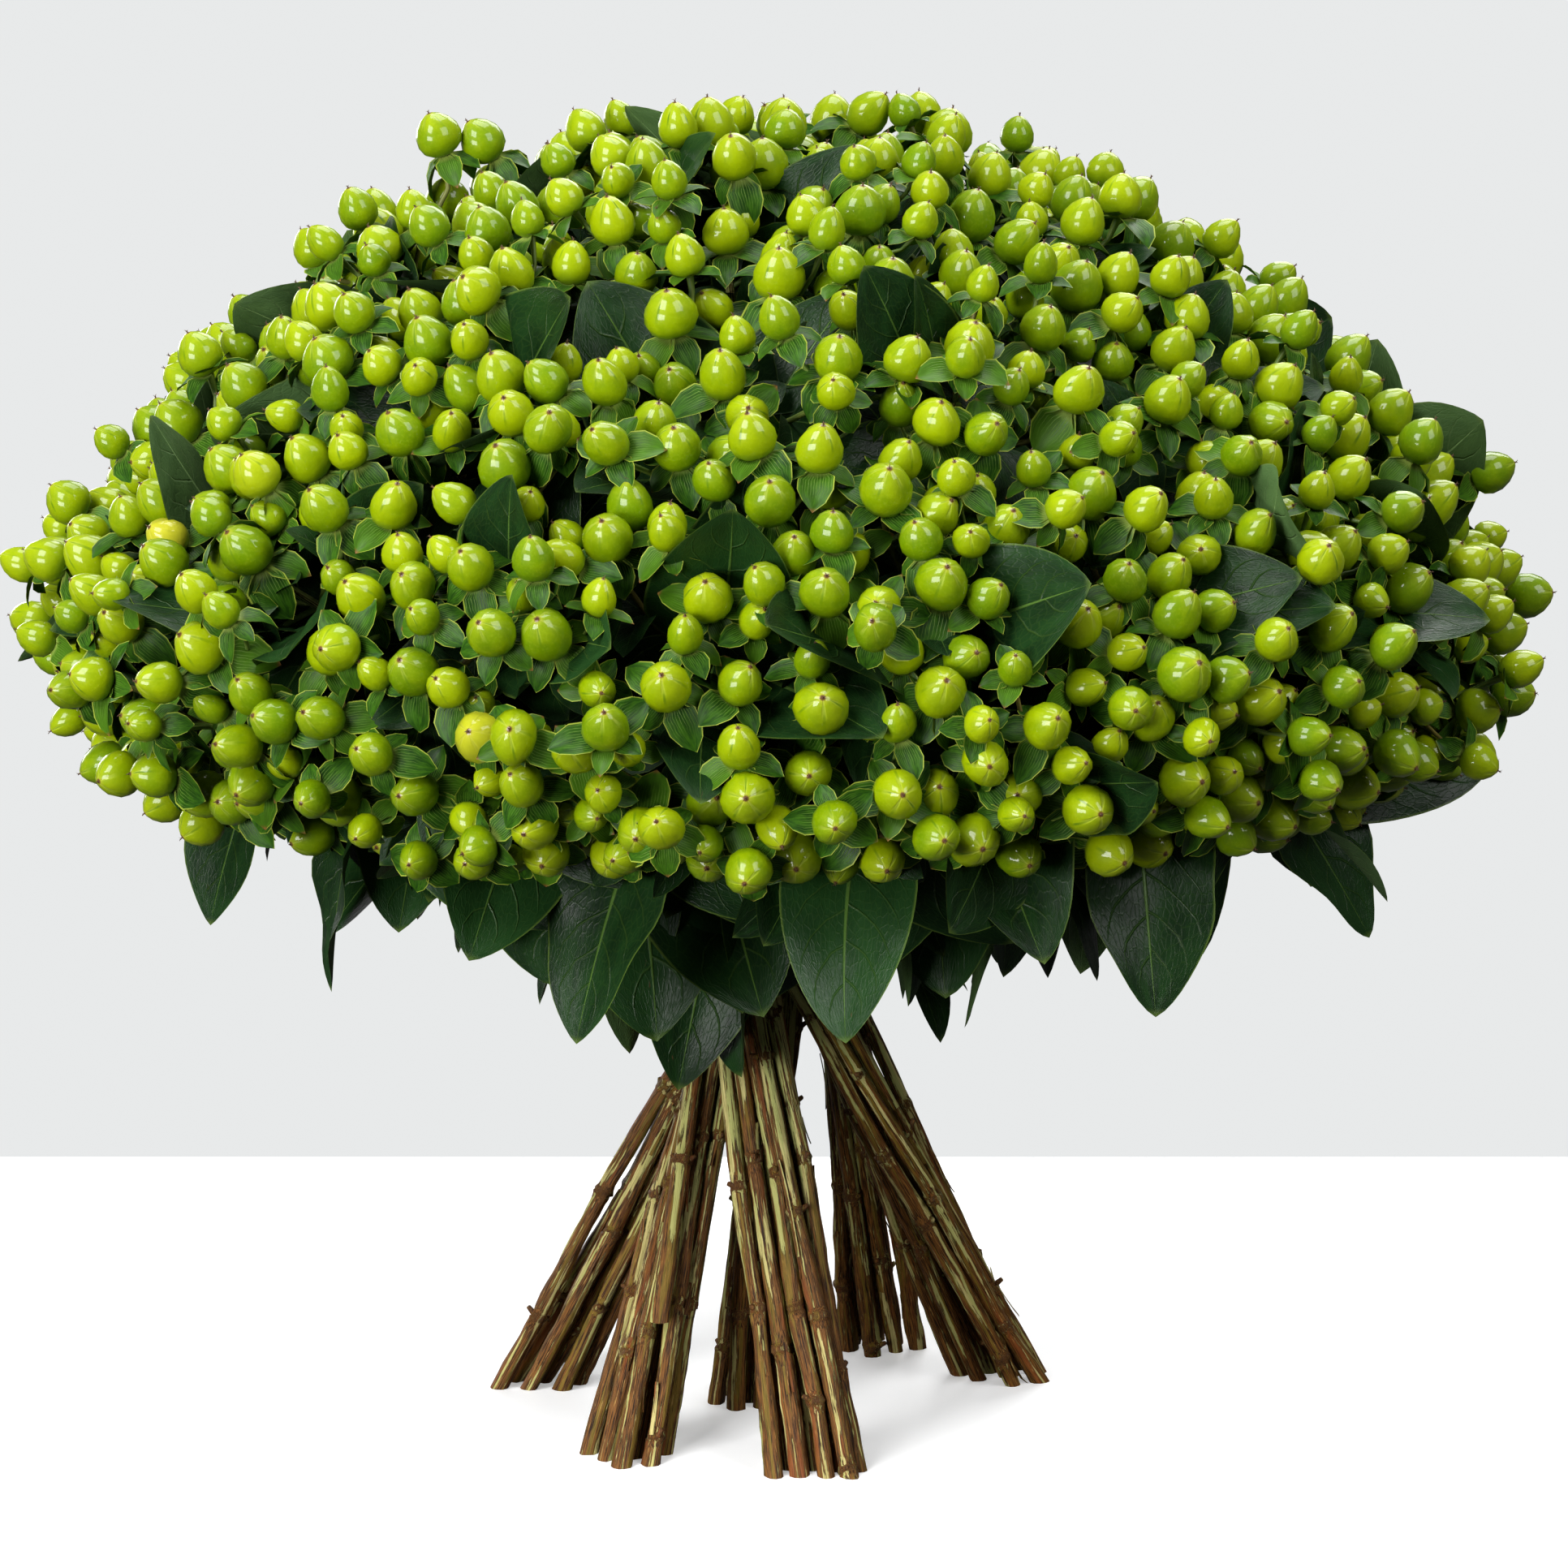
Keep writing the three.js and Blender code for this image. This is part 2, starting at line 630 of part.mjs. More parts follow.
/** A leaf from one side of a fork, split into triangles alike on both faces. */
function skinLeaf(skin, side, leaf) {
  const half = 0.5 * LEAF.thickness;
  const face = (foot, offset) => {
    const raise = leaf.up.clone().multiplyScalar(offset);
    const rows = BLADE.map(([s]) => [-1, 0, 1].map((v) => leafPoint(leaf, s, v).add(raise)));
    return [...foot, ...rows.flat(), leafPoint(leaf, 1, 0).add(raise)];
  };
  const [a, b, c, d] = side.corners;
  const top = face([d, c], half);
  const bottom = face([a, b], -half);
  const triangles = [
    [0, 1, 3],
    [0, 3, 2],
    [1, 4, 3],
    [2, 3, 6],
    [2, 6, 5],
    [3, 4, 6],
    [4, 7, 6],
    [5, 6, 8],
    [6, 7, 8],
  ];
  triangles.forEach(([i, j, k]) => {
    skin.triangle(COLOURS.leaf, bottom[i], bottom[j], bottom[k]);
    skin.triangle(COLOURS.leaf, top[i], top[k], top[j]);
  });
  const edge = [1, 4, 7, 8, 5, 2, 0];
  edge.slice(1).forEach((j, n) => {
    const i = edge[n];
    skin.triangle(COLOURS.leaf, bottom[i], top[i], bottom[j]);
    skin.triangle(COLOURS.leaf, top[i], top[j], bottom[j]);
  });
}

/** A fork's four sides: each bare, or open where a stalk or a leaf grows from it. */
function skinFork(skin, fork) {
  fork.sides.forEach((side, i) => {
    const grown = fork.grown.get(i);
    if (grown?.berry) skinStalk(skin, side, grown.berry);
    else if (grown?.leaf) skinLeaf(skin, side, grown.leaf);
    else {
      const [a, b, c, d] = side.corners;
      skin.triangle(COLOURS.bark, a, b, d);
      skin.triangle(COLOURS.bark, b, c, d);
    }
  });
}

/** The ring of a stem's foot, cut level at its height above the table. */
function footRing(stem) {
  const at = stem.foot.clone().addScaledVector(stem.run, stem.lift / stem.run.z);
  const points = ring(at, stem.run, STEM_R.foot, SIDES.wood, stem.first);
  return points.map((p) => p.addScaledVector(stem.run, (stem.lift - p.z) / stem.run.z).setZ(stem.lift));
}

/** One leafy stem in one skin, from its cut foot to the berry at its tip. */
function leafyStem(stem) {
  const skin = new Skin();
  const foot = footRing(stem);
  let below = ring(stem.fan, stem.run, STEM_R.fan, SIDES.wood, stem.first);
  skin.cap(COLOURS.bark, foot);
  skin.band(COLOURS.bark, foot, below);
  stem.rows.forEach((row) => {
    const rings = row.rings ?? [ring(row.at, row.along, row.radius, SIDES.young, row.first)];
    skin.band(COLOURS.bark, below, rings[0]);
    if (row.grown) skinFork(skin, row);
    below = rings[rings.length - 1];
  });
  skinBerry(skin, stem.berries[0], below);
  return skin.geometry();
}

/** The tie: turns of twine side by side round the crossing. */
function tieGeometry(stems) {
  const half = TIE.turns * TIE.twine;
  const ends = stems.flatMap((stem) => [runAt(stem, TIE_Z - half), runAt(stem, TIE_Z + half)]);
  const widest = Math.max(...ends.map((p) => Math.hypot(p.x, p.y)));
  const inner = (widest + STEM_R.fan + TIE.clearance) / Math.cos(Math.PI / TIE.sides);
  const outline = [new THREE.Vector2(inner, -half), new THREE.Vector2(inner + TIE.twine, -half)];
  for (let k = 0; k < TIE.turns; k++) {
    const z = -half + (2 * k + 1) * TIE.twine;
    outline.push(new THREE.Vector2(inner + 2 * TIE.twine, z));
    outline.push(new THREE.Vector2(inner + TIE.twine, z + TIE.twine));
  }
  outline.push(new THREE.Vector2(inner, half), outline[0].clone());
  return new THREE.LatheGeometry(outline, TIE.sides).rotateX(Math.PI / 2).translate(0, 0, TIE_Z);
}

// ---- The bunch ----

const stems = growBunch();
stems.forEach((stem, i) => {
  stem.lift = i % SHORT_STEMS.every === SHORT_STEMS.first ? SHORT_STEMS.lift : 0;
});

const bunch = new THREE.Group();
stems.forEach((stem, i) => {
  const material = new THREE.MeshStandardMaterial({ vertexColors: true, roughness: 0.4, metalness: 0 });
  const mesh = new THREE.Mesh(leafyStem(stem), material);
  mesh.name = `leafy_stem_${String(i + 1).padStart(2, "0")}`;
  bunch.add(mesh);
});

const twine = new THREE.MeshStandardMaterial({ color: COLOURS.twine, roughness: 0.9, metalness: 0 });
const tie = new THREE.Mesh(tieGeometry(stems), twine);
tie.name = "tie";
bunch.add(tie);

const middle = new THREE.Box3().setFromObject(bunch).getCenter(new THREE.Vector3());
bunch.position.set(-middle.x, -middle.y, 0);

export default bunch;
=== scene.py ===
"""A hand-tied bunch of green-berried hypericum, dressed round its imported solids.

The bunch is laid out in millimetres by the same rule and the same random draws as its solids, so every
berry, stalk and large leaf stands where its solid does. Round them come what the solids leave out: the other
berries of each head, sepals, bracts, inner and hanging leaves, bark and twine. Meshes are made in metres.
"""

import functools
import math
from types import SimpleNamespace

import bpy
import numpy as np
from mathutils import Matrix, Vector


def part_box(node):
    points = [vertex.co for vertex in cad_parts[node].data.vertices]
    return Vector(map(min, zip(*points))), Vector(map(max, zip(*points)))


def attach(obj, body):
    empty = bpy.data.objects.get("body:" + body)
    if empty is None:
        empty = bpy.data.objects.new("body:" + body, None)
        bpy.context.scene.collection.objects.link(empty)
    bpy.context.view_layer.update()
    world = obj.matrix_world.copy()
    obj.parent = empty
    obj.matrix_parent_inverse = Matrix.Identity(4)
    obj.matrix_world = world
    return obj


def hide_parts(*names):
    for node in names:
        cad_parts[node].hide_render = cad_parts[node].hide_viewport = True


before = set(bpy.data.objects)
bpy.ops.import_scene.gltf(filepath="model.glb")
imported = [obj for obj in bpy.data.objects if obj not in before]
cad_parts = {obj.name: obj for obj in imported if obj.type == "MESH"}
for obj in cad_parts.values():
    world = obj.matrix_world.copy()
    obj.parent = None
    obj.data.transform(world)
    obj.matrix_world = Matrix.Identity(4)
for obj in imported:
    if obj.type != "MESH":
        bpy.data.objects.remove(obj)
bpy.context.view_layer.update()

# ---- Dimensions of the layout, as in the solids ----

TIE_Z = 134.0
FAN_Z = 176.0
STEM_RINGS = [1, 6, 12, 18, 22]
RING_PITCH = 4.8
FOOT_R, FAN_R, TIP_R = 2.5, 2.0, 1.3
CLEARANCE = 0.4
FEET = [(25, 78), (63, 68), (160, 78), (232, 73), (279, 71)]
MIDDLE_FOOT, MIDDLE_PITCH = (-12, 2), 7
FOOT_ALONG, FOOT_INWARD = 5.7, 6.6
TWIST = 68
SHORT_EVERY, SHORT_FIRST, SHORT_LIFT = 13, 9, 38
DOME_Z, DOME_RADIUS, DOME_UP, DOME_DOWN, UP_POWER, DOWN_POWER = 230, 201, 136, 56, 1.62, 2.6
RIM_Z, RIM_RISE = 181, 15
BERRY_LIFT = 0.3
HEAD_DEPTH = 5
SIDE_BERRIES = [22, 22, 34, 34]
BERRY_SPACING = 31
BERRY_R, BERRY_LENGTH, BERRY_VARY = 6.3, 13.4, 0.14
STALK_R = 0.95
FORK_UPPER, FORK_LEAFY, FORK_LOWER = 22, 29, 38
LEAF_LENGTH, LEAF_WIDTH, LEAF_THICK, LEAF_ARCH, LEAF_FOLD = 56, 32, 0.8, 0.16, 0.22
TWINE_R, TWINE_TURNS = 0.9, 4
SEED = 6
# The straight runs are pushed apart in rounds, and drawn back to the middle in the first of them.
RUN_ROUNDS, DRAWN_ROUNDS, DRAW_BACK = 120, 80, 0.01
BERRY_ROUNDS, BEND_ROUNDS, BEND_REACH = 24, 30, 120
# How far a stalk or an axis keeps its first and its last direction, as shares of its reach.
STALK_NEAR, AXIS_NEAR, END_NEAR = 0.32, 0.34, 0.36
# Leaves are tried until one has plenty of room, and the best is kept if it has enough.
LEAF_TRIES, ENOUGH_ROOM, PLENTY_ROOM, MOST_ROOM, NO_ROOM = 120, 2.4, 3.6, 9, -9
BEADS, BEAD_STEP, BEADS_REACH, NEAR_BASE = 40000, 3, 60, 16

# ---- Dimensions of what the solids leave out ----

# Berries beside each of the solids' own: how many, and how far apart. None stands above the crown.
MORE_BERRIES, MORE_ODDS = [2, 3, 4, 5], [0.2, 0.4, 0.3, 0.1]
BESIDE_NEAR, BESIDE_FAR = 12.2, 18
CROWN_Z = 368
# Six berries stand out of the dome, where the photograph has sprays.
SPRAYS = [(-95, 10, 361), (-83, 14, 359), (-112, 5, 340), (-197, -12, 262), (196, -10, 270), (209, 5, 233)]
BERRY_SIDES = 15
# A berry's rows from neck to tip, as shares of half a turn.
BERRY_TURNS = np.array([0.07, 0.17, 0.29, 0.42, 0.56, 0.70, 0.83, 0.94])
SEPAL_ROWS, SEPAL_COLUMNS, SEPAL_LENGTH = 5, 5, 14.2
BLADE_THICK = 0.5
# Leaves that hang under the head: the innermost ring that has them, the run of the stem that they grow from,
# the shares of it between which they grow, and their size, droop and least room.
HANGING = [
    (4, 3, (0.0, 0.7), 1.1, (0.4, 0.9), -0.5),
    (4, 2, (0.4, 1.0), 1.25, (0.7, 2.4), 0.2),
    (4, 3, (0.3, 1.0), 0.95, (0.0, 0.7), 0.2),
    (3, 2, (0.1, 0.8), 1.15, (0.3, 1.6), 0.4),
    (3, 1, (0.2, 1.0), 1.1, (0.5, 1.6), 0.4),
    (4, 0, (0.3, 1.0), 0.95, (0.4, 1.6), 0.4),
]
# In front of the crossing, no such leaf hides what is below this height and within this reach of the middle.
OPEN_X, OPEN_REACH, OPEN_Z = 12, 19, 131
STEM_SIDES = 10
STEM_STEP_LOW, STEM_STEP_HIGH = 3.4, 8.0
NODE_STEP = 24, 62
FLAKES = 11
# Pairs of leaves on stalks and inside the head: their least room, and the ranges that they are drawn from.
BRACTS = {"least": -3.0, "tries": 5, "stray": 0.4, "lean": (48, 82), "size": (0.26, 0.42), "arch": (0.05, 0.3)}
INNER = {"least": -1.5, "tries": 8, "stray": 0.3, "lean": (40, 75), "size": (0.55, 0.9), "arch": (0.1, 0.35)}
BRACT_SHAPE = 1.05
SECTORS = 4
DETAIL_SEED = 11

# ---- Small tools ----


def seeded(seed):
    """The random numbers that the solids are laid out with."""
    mask = 0xFFFFFFFF
    state = [seed]

    def draw():
        state[0] = s = (state[0] + 0x6D2B79F5) & mask
        t = ((s ^ (s >> 15)) * (s | 1)) & mask
        t = (t + (t ^ (t >> 7)) * (t | 61)) & mask ^ t
        return (t ^ (t >> 14)) / 4294967296

    return draw


def vec(x, y, z):
    return np.array([x, y, z], float)


def unit(v):
    return v / np.sqrt((v * v).sum(-1, keepdims=True))


def squared(v, n):
    """The part of v that is square to n, at unit length."""
    return unit(v - (v * n).sum(-1, keepdims=True) * n)


def polar(radius, degrees, z=0.0):
    t = math.radians(degrees)
    return vec(radius * math.cos(t), radius * math.sin(t), z)


def wrapped(angle):
    return (angle + 180) % 360 - 180


def turned(v, axis, angle):
    """v turned about a unit axis."""
    c, s = math.cos(angle), math.sin(angle)
    return v * c + np.cross(axis, v) * s + axis * (axis @ v) * (1 - c)


def smooth(x):
    x = np.clip(x, 0, 1)
    return x * x * (3 - 2 * x)


def circle(sides):
    return math.tau * np.arange(sides) / sides


def gather(things, *keys):
    """An array for each key, with a row for each thing."""
    return [np.array([getattr(thing, key) for thing in things]) for key in keys]


def around(a, b, angle):
    """Ways at these angles from a, in the plane of each a and b."""
    return a[..., None, :] * np.cos(angle)[:, None] + b[..., None, :] * np.sin(angle)[:, None]


# ---- The dome ----


def onto_dome(p, offset=0.0):
    q = vec(p[0], p[1], p[2] - DOME_Z)
    power = UP_POWER if q[2] >= 0 else DOWN_POWER
    flat = math.hypot(q[0], q[1]) / DOME_RADIUS
    tall = abs(q[2]) / (DOME_UP if q[2] >= 0 else DOME_DOWN)
    q = q * ((flat**power + tall**power) ** (-1 / power) + offset / math.sqrt(q @ q))
    return q + vec(0, 0, DOME_Z)


def dome_normal(p):
    z = p[2] - DOME_Z
    power = UP_POWER if z >= 0 else DOWN_POWER
    height = DOME_UP if z >= 0 else DOME_DOWN
    r = max(math.hypot(p[0], p[1]), 1e-6)
    out = (r / DOME_RADIUS) ** (power - 1) / DOME_RADIUS
    up = math.copysign((abs(z) / height) ** (power - 1), z) / height
    return unit(vec(p[0] / r * out, p[1] / r * out, up))


def dome_outline():
    rows = [(0.0, DOME_Z + DOME_UP, 0.0)]
    for i in range(1, 400):
        t = i / 400 * math.pi
        p = onto_dome(vec(math.sin(t), 0, DOME_Z + math.cos(t)))
        r, z, area = rows[-1]
        area += math.pi * (p[0] + r) * math.hypot(p[0] - r, p[2] - z)
        if p[2] < RIM_Z:
            break
        rows.append((p[0], p[2], area))
    return rows


def rim_height(p):
    """The lowest that a berry may stand: the rim rises in front and behind."""
    return RIM_Z + RIM_RISE * p[..., 1] ** 2 / (p[..., 0] ** 2 + p[..., 1] ** 2)


def ragged_rim(p):
    """The rim of the berries that the solids leave out, which hangs in sprays with gaps between them."""
    t = math.atan2(p[1], p[0])
    return rim_height(p) + 3 + 8 * math.sin(5 * t + 0.9) + 6 * math.sin(11 * t + 2.1)


def facing(at):
    return unit(dome_normal(at) + unit(at - vec(0, 0, TIE_Z)) + vec(0, 0, BERRY_LIFT))


# ---- The straight runs from foot to fan, through the tie ----


def nearest_foot(angle):
    leans = [wrapped(angle - foot[0]) for foot in FEET]
    clump = min(range(len(FEET)), key=lambda i: abs(leans[i]))
    return clump, leans[clump]


def nearest_points(a0, a1, b0, b1):
    """The nearest points of two straight lines, as shares of their lengths, and the gap between them."""
    ux, uy, uz = a1[0] - a0[0], a1[1] - a0[1], a1[2] - a0[2]
    vx, vy, vz = b1[0] - b0[0], b1[1] - b0[1], b1[2] - b0[2]
    wx, wy, wz = a0[0] - b0[0], a0[1] - b0[1], a0[2] - b0[2]
    uu = ux * ux + uy * uy + uz * uz
    uv = ux * vx + uy * vy + uz * vz
    vv = vx * vx + vy * vy + vz * vz
    uw = ux * wx + uy * wy + uz * wz
    vw = vx * wx + vy * wy + vz * wz
    flat = uu * vv - uv * uv
    s = 0.5 if flat < 1e-9 else min(1, max(0, (uv * vw - vv * uw) / flat))
    t = min(1, max(0, (s * uv + vw) / vv))
    s = min(1, max(0, (t * uv - uw) / uu))
    return s, t, (vx * t - ux * s - wx, vy * t - uy * s - wy, vz * t - uz * s - wz)


def shift_run(run, share, dx, dy):
    foot, fan = run
    whole = (1 - share) * (1 - share) + share * share
    foot[0] += dx * (1 - share) / whole
    foot[1] += dy * (1 - share) / whole
    fan[0] += dx * share / whole
    fan[1] += dy * share / whole


def settle_runs(runs):
    share = TIE_Z / FAN_Z
    for turn in range(RUN_ROUNDS):
        if turn < DRAWN_ROUNDS:
            for foot, fan in runs:
                x = foot[0] + (fan[0] - foot[0]) * share
                y = foot[1] + (fan[1] - foot[1]) * share
                shift_run((foot, fan), share, -DRAW_BACK * x, -DRAW_BACK * y)
        for i, a in enumerate(runs):
            for b in runs[i + 1 :]:
                s, t, gap = nearest_points(a[0], a[1], b[0], b[1])
                wide = math.sqrt(gap[0] ** 2 + gap[1] ** 2 + gap[2] ** 2)
                short = 2 * FOOT_R + (FAN_R - FOOT_R) * (s + t) + CLEARANCE - wide
                if short > 0:
                    push = 0.5 * short / wide
                    shift_run(a, s, -push * gap[0], -push * gap[1])
                    shift_run(b, t, push * gap[0], push * gap[1])


def lay_runs(draw):
    stems = []
    for k, count in enumerate(STEM_RINGS):
        members = []
        for j in range(count):
            angle = 360 * (j + 0.5 * (k % 2) + 0.3 * (draw() - 0.5)) / count
            clump, lean = nearest_foot(angle + TWIST)
            members.append(SimpleNamespace(ring=k, angle=angle, clump=clump, lean=lean))
        for stem in members:
            row = sorted((o for o in members if o.clump == stem.clump), key=lambda o: o.lean)
            aside = (row.index(stem) - (len(row) - 1) / 2) * FOOT_ALONG
            inward = (len(STEM_RINGS) - 1 - k) * FOOT_INWARD + 3 * (draw() - 0.5)
            angle, reach = FEET[stem.clump]
            stem.foot = polar(reach - inward, angle) + polar(aside, angle + 90)
            if k < 2:
                stem.foot = polar(MIDDLE_PITCH * k, stem.angle + TWIST) + vec(*MIDDLE_FOOT, 0)
            through = polar(RING_PITCH * k, stem.angle, TIE_Z)
            stem.fan = stem.foot + (through - stem.foot) * (FAN_Z / TIE_Z)
        stems += members
    runs = [(list(stem.foot), list(stem.fan)) for stem in stems]
    settle_runs(runs)
    for stem, (foot, fan) in zip(stems, runs):
        stem.foot, stem.fan = np.array(foot), np.array(fan)
        stem.run = unit(stem.fan - stem.foot)
    return stems


# ---- Heads and berries ----


def way_out(stem):
    x, y, _ = stem.fan + 90 * stem.run
    spiral = stem.angle - TWIST
    return spiral + wrapped(math.degrees(math.atan2(y, x)) - spiral)


def place_heads(stems, draw):
    outline = dome_outline()
    before = 0
    for k, count in enumerate(STEM_RINGS):
        share = 0 if k == 0 else (before + 0.5 * count) / len(stems)
        r, z, _ = next(row for row in outline if row[2] >= share * outline[-1][2])
        members = sorted((o for o in stems if o.ring == k), key=way_out)
        for j, stem in enumerate(members):
            turn = (draw() - 0.5) * (120 / count)
            rise = (draw() - 0.5) * 14
            stem.head = onto_dome(polar(r, 360 * (j + 0.5 * (k % 2)) / count - TWIST + turn, z + rise))
        before += count


def spread_berries(stems, draw):
    berries = []
    for stem in stems:
        n = dome_normal(stem.head)
        a = squared(vec(0, 0.3, 1), n)
        b = np.cross(n, a)
        turn = draw() * math.tau
        stem.berries = []
        for m, out in enumerate([0] + SIDE_BERRIES):
            t = turn + m * math.pi + (0 if m < 3 else math.pi / 2)
            at = stem.head + a * (out * math.cos(t)) + b * (out * math.sin(t))
            depth = (draw() - 0.5) * 2 * HEAD_DEPTH
            size = 1 + (draw() - 0.5) * BERRY_VARY
            stem.berries.append(SimpleNamespace(at=at, depth=depth, size=size, root=None))
        berries += stem.berries
    at = np.array([berry.at for berry in berries])
    for _ in range(BERRY_ROUNDS):
        away = at[:, None] - at[None]
        gap = np.sqrt((away**2).sum(-1))
        near = (gap < BERRY_SPACING) & (gap >= 1e-6)
        push = np.where(near, 0.3 * (BERRY_SPACING - gap) / np.maximum(gap, 1e-9), 0)
        at = at + (away * push[..., None]).sum(1)
        at[:, 2] = np.maximum(at[:, 2], rim_height(at))
        at = np.array([onto_dome(p, berry.depth) for p, berry in zip(at, berries)])
    for p, berry in zip(at, berries):
        berry.at, berry.facing = p, facing(p)
        berry.neck = p - berry.facing * (0.5 * BERRY_LENGTH * berry.size)


# ---- The axis of a stem ----


def bezier(points, t):
    a, b, c, d = points
    k = 1 - t
    return a * k**3 + b * (3 * k * k * t) + c * (3 * k * t * t) + d * t**3


def row_at(curve, t, fork=False):
    """A cross-section of the axis. A fork is one that stalks and leaves grow from."""
    low, high = max(t - 0.0001, 0), min(t + 0.0001, 1)
    along = unit(bezier(curve, high) - bezier(curve, low))
    return SimpleNamespace(at=bezier(curve, t), along=along, share=t, fork=fork, grown={})


def settle_bends(stems):
    need = 2 * FAN_R + CLEARANCE
    paths = [[list(p) for p in stem.path] for stem in stems]

    def shift(path, k, share, gap, push):
        before, after = (1 - share if k > 0 else 0), (share if k < 2 else 0)
        whole = max(before * before + after * after, 0.2)
        for point, part in ((path[k], before), (path[k + 1], after)):
            for axis in range(3):
                point[axis] += gap[axis] * push * part / whole

    for _ in range(BEND_ROUNDS):
        for i, a in enumerate(paths):
            for b in paths[i + 1 :]:
                for k in range(3):
                    x, y, z = a[k]
                    for m in range(3):
                        p = b[m]
                        if (x - p[0]) ** 2 + (y - p[1]) ** 2 + (z - p[2]) ** 2 > BEND_REACH**2:
                            continue
                        s, t, gap = nearest_points(a[k], a[k + 1], p, b[m + 1])
                        wide = gap[0] * gap[0] + gap[1] * gap[1] + gap[2] * gap[2]
                        if wide < need * need:
                            wide = math.sqrt(wide)
                            push = 0.5 * (need - wide) / wide
                            shift(a, k, s, gap, -push)
                            shift(b, m, t, gap, push)
                            x, y, z = a[k]
    for stem, path in zip(stems, paths):
        for row, point in zip(stem.rows, path[1:]):
            row.at = np.array(point)


def lay_axis(stem, draw):
    tip = stem.berries[0]
    reach = math.dist(tip.neck, stem.fan)
    near, far = stem.fan + stem.run * (AXIS_NEAR * reach), tip.neck - tip.facing * (END_NEAR * reach)
    curve = (stem.fan, near, far, tip.neck)
    lower, leafy, upper = (
        row_at(curve, 1 - below / (1.08 * reach), True) for below in (FORK_LOWER, FORK_LEAFY, FORK_UPPER)
    )
    outer = stem.ring == len(STEM_RINGS) - 1
    skirt = row_at(curve, 0.15 + 0.33 * draw(), True)
    middle = [skirt, row_at(curve, 0.5)] if outer else [row_at(curve, 0.25), row_at(curve, 0.5)]
    stem.skirt = skirt if outer else None
    stem.lower, stem.leafy, stem.upper = lower, leafy, upper
    stem.rows = [*middle, lower, leafy, upper, row_at(curve, 1)]
    stem.path = [stem.fan, middle[0].at, middle[1].at, lower.at]
    stem.first = squared(polar(1, 360 * draw()), stem.run)


def turn_axis(stem):
    first = stem.first
    for row in stem.rows:
        first = squared(first, row.along)
        row.radius = FAN_R + (TIP_R - FAN_R) * row.share
        if not row.fork:
            continue
        other = np.cross(row.along, first)
        corners = [
            first * (row.radius * math.cos(t)) + other * (row.radius * math.sin(t))
            for t in (0, math.pi / 2, math.pi, 1.5 * math.pi)
        ]
        row.sides = []
        for i in range(4):
            reach = corners[i] + corners[(i + 1) % 4]
            row.sides.append((row.at + 0.5 * reach, squared(reach, row.along)))


def root_stalks(stem):
    tip, *others = stem.berries
    others.sort(key=lambda o: math.dist(o.at, tip.at))
    for fork, (p, q) in ((stem.upper, others[:2]), (stem.lower, others[2:])):
        fits = [[unit(berry.neck - at) @ out for at, out in fork.sides] for berry in (p, q)]
        pairs = [(i, j) for i in range(4) for j in range(4) if i != j]
        worth = [min(fits[0][i], fits[1][j]) + 0.1 * (fits[0][i] + fits[1][j]) for i, j in pairs]
        best = pairs[int(np.argmax(worth))]
        for berry, side in zip((p, q), best):
            fork.grown[side] = berry
            berry.root, berry.out = fork.sides[side]
            berry.along = fork.along


# ---- Leaves of the solids ----

BLADE_ROWS = [(0, 0.1), (0.28, 0.96), (0.66, 0.84), (1, 0)]
SAMPLES = [((i / 16) ** 1.25, j / 4) for i in range(1, 17) for j in range(-4, 5)]
MIDDLE_SAMPLE = 76
SAMPLE_S = np.array([s for s, _ in SAMPLES])
SAMPLE_HALF = np.interp(SAMPLE_S, *zip(*BLADE_ROWS)) * np.array([v for _, v in SAMPLES])


def leaf_samples(leaf):
    half = 0.5 * leaf.width * SAMPLE_HALF
    lift = LEAF_FOLD * abs(half) - LEAF_ARCH * leaf.length * SAMPLE_S**2
    s = leaf.length * SAMPLE_S
    return leaf.base + s[:, None] * leaf.along + half[:, None] * leaf.across + lift[:, None] * leaf.up


class Beads:
    """Points along everything that leaves keep clear of."""

    def __init__(self):
        self.count = 0
        self.at = np.zeros((BEADS, 3))
        self.radius = np.zeros(BEADS)
        self.owner = np.zeros(BEADS, int)
        self.axis = np.zeros(BEADS, bool)

    def add(self, at, radius, owner, axis):
        span = slice(self.count, self.count + len(at))
        self.at[span], self.radius[span], self.owner[span], self.axis[span] = at, radius, owner, axis
        self.count = span.stop

    def string(self, start, end, radius, owner, axis):
        count = math.ceil(math.dist(start, end) / BEAD_STEP)
        shares = np.arange(count + 1)[:, None] / count
        self.add(start + (end - start) * shares, radius, owner, axis)

    def room(self, leaf, points, owner):
        n = self.count
        pick = np.flatnonzero(((self.at[:n] - points[MIDDLE_SAMPLE]) ** 2).sum(1) <= BEADS_REACH**2)
        mine = self.owner[pick] == owner
        out = np.where(mine, np.sqrt(((self.at[pick] - leaf.base) ** 2).sum(1)), NEAR_BASE)
        keep = ~(self.axis[pick] & (out < NEAR_BASE))
        pick, out = pick[keep], out[keep]
        kept = self.radius[pick] + np.where(out < NEAR_BASE, 0.6, 0)
        ease = np.maximum(1, NEAR_BASE / np.maximum(out, 1e-9))
        for some in (points[4::9], points):
            gap = np.sqrt(((some[:, None] - self.at[pick][None]) ** 2).sum(-1))
            room = min(MOST_ROOM, ((gap - kept) * ease).min())
            if room < 0:
                return NO_ROOM
        return room


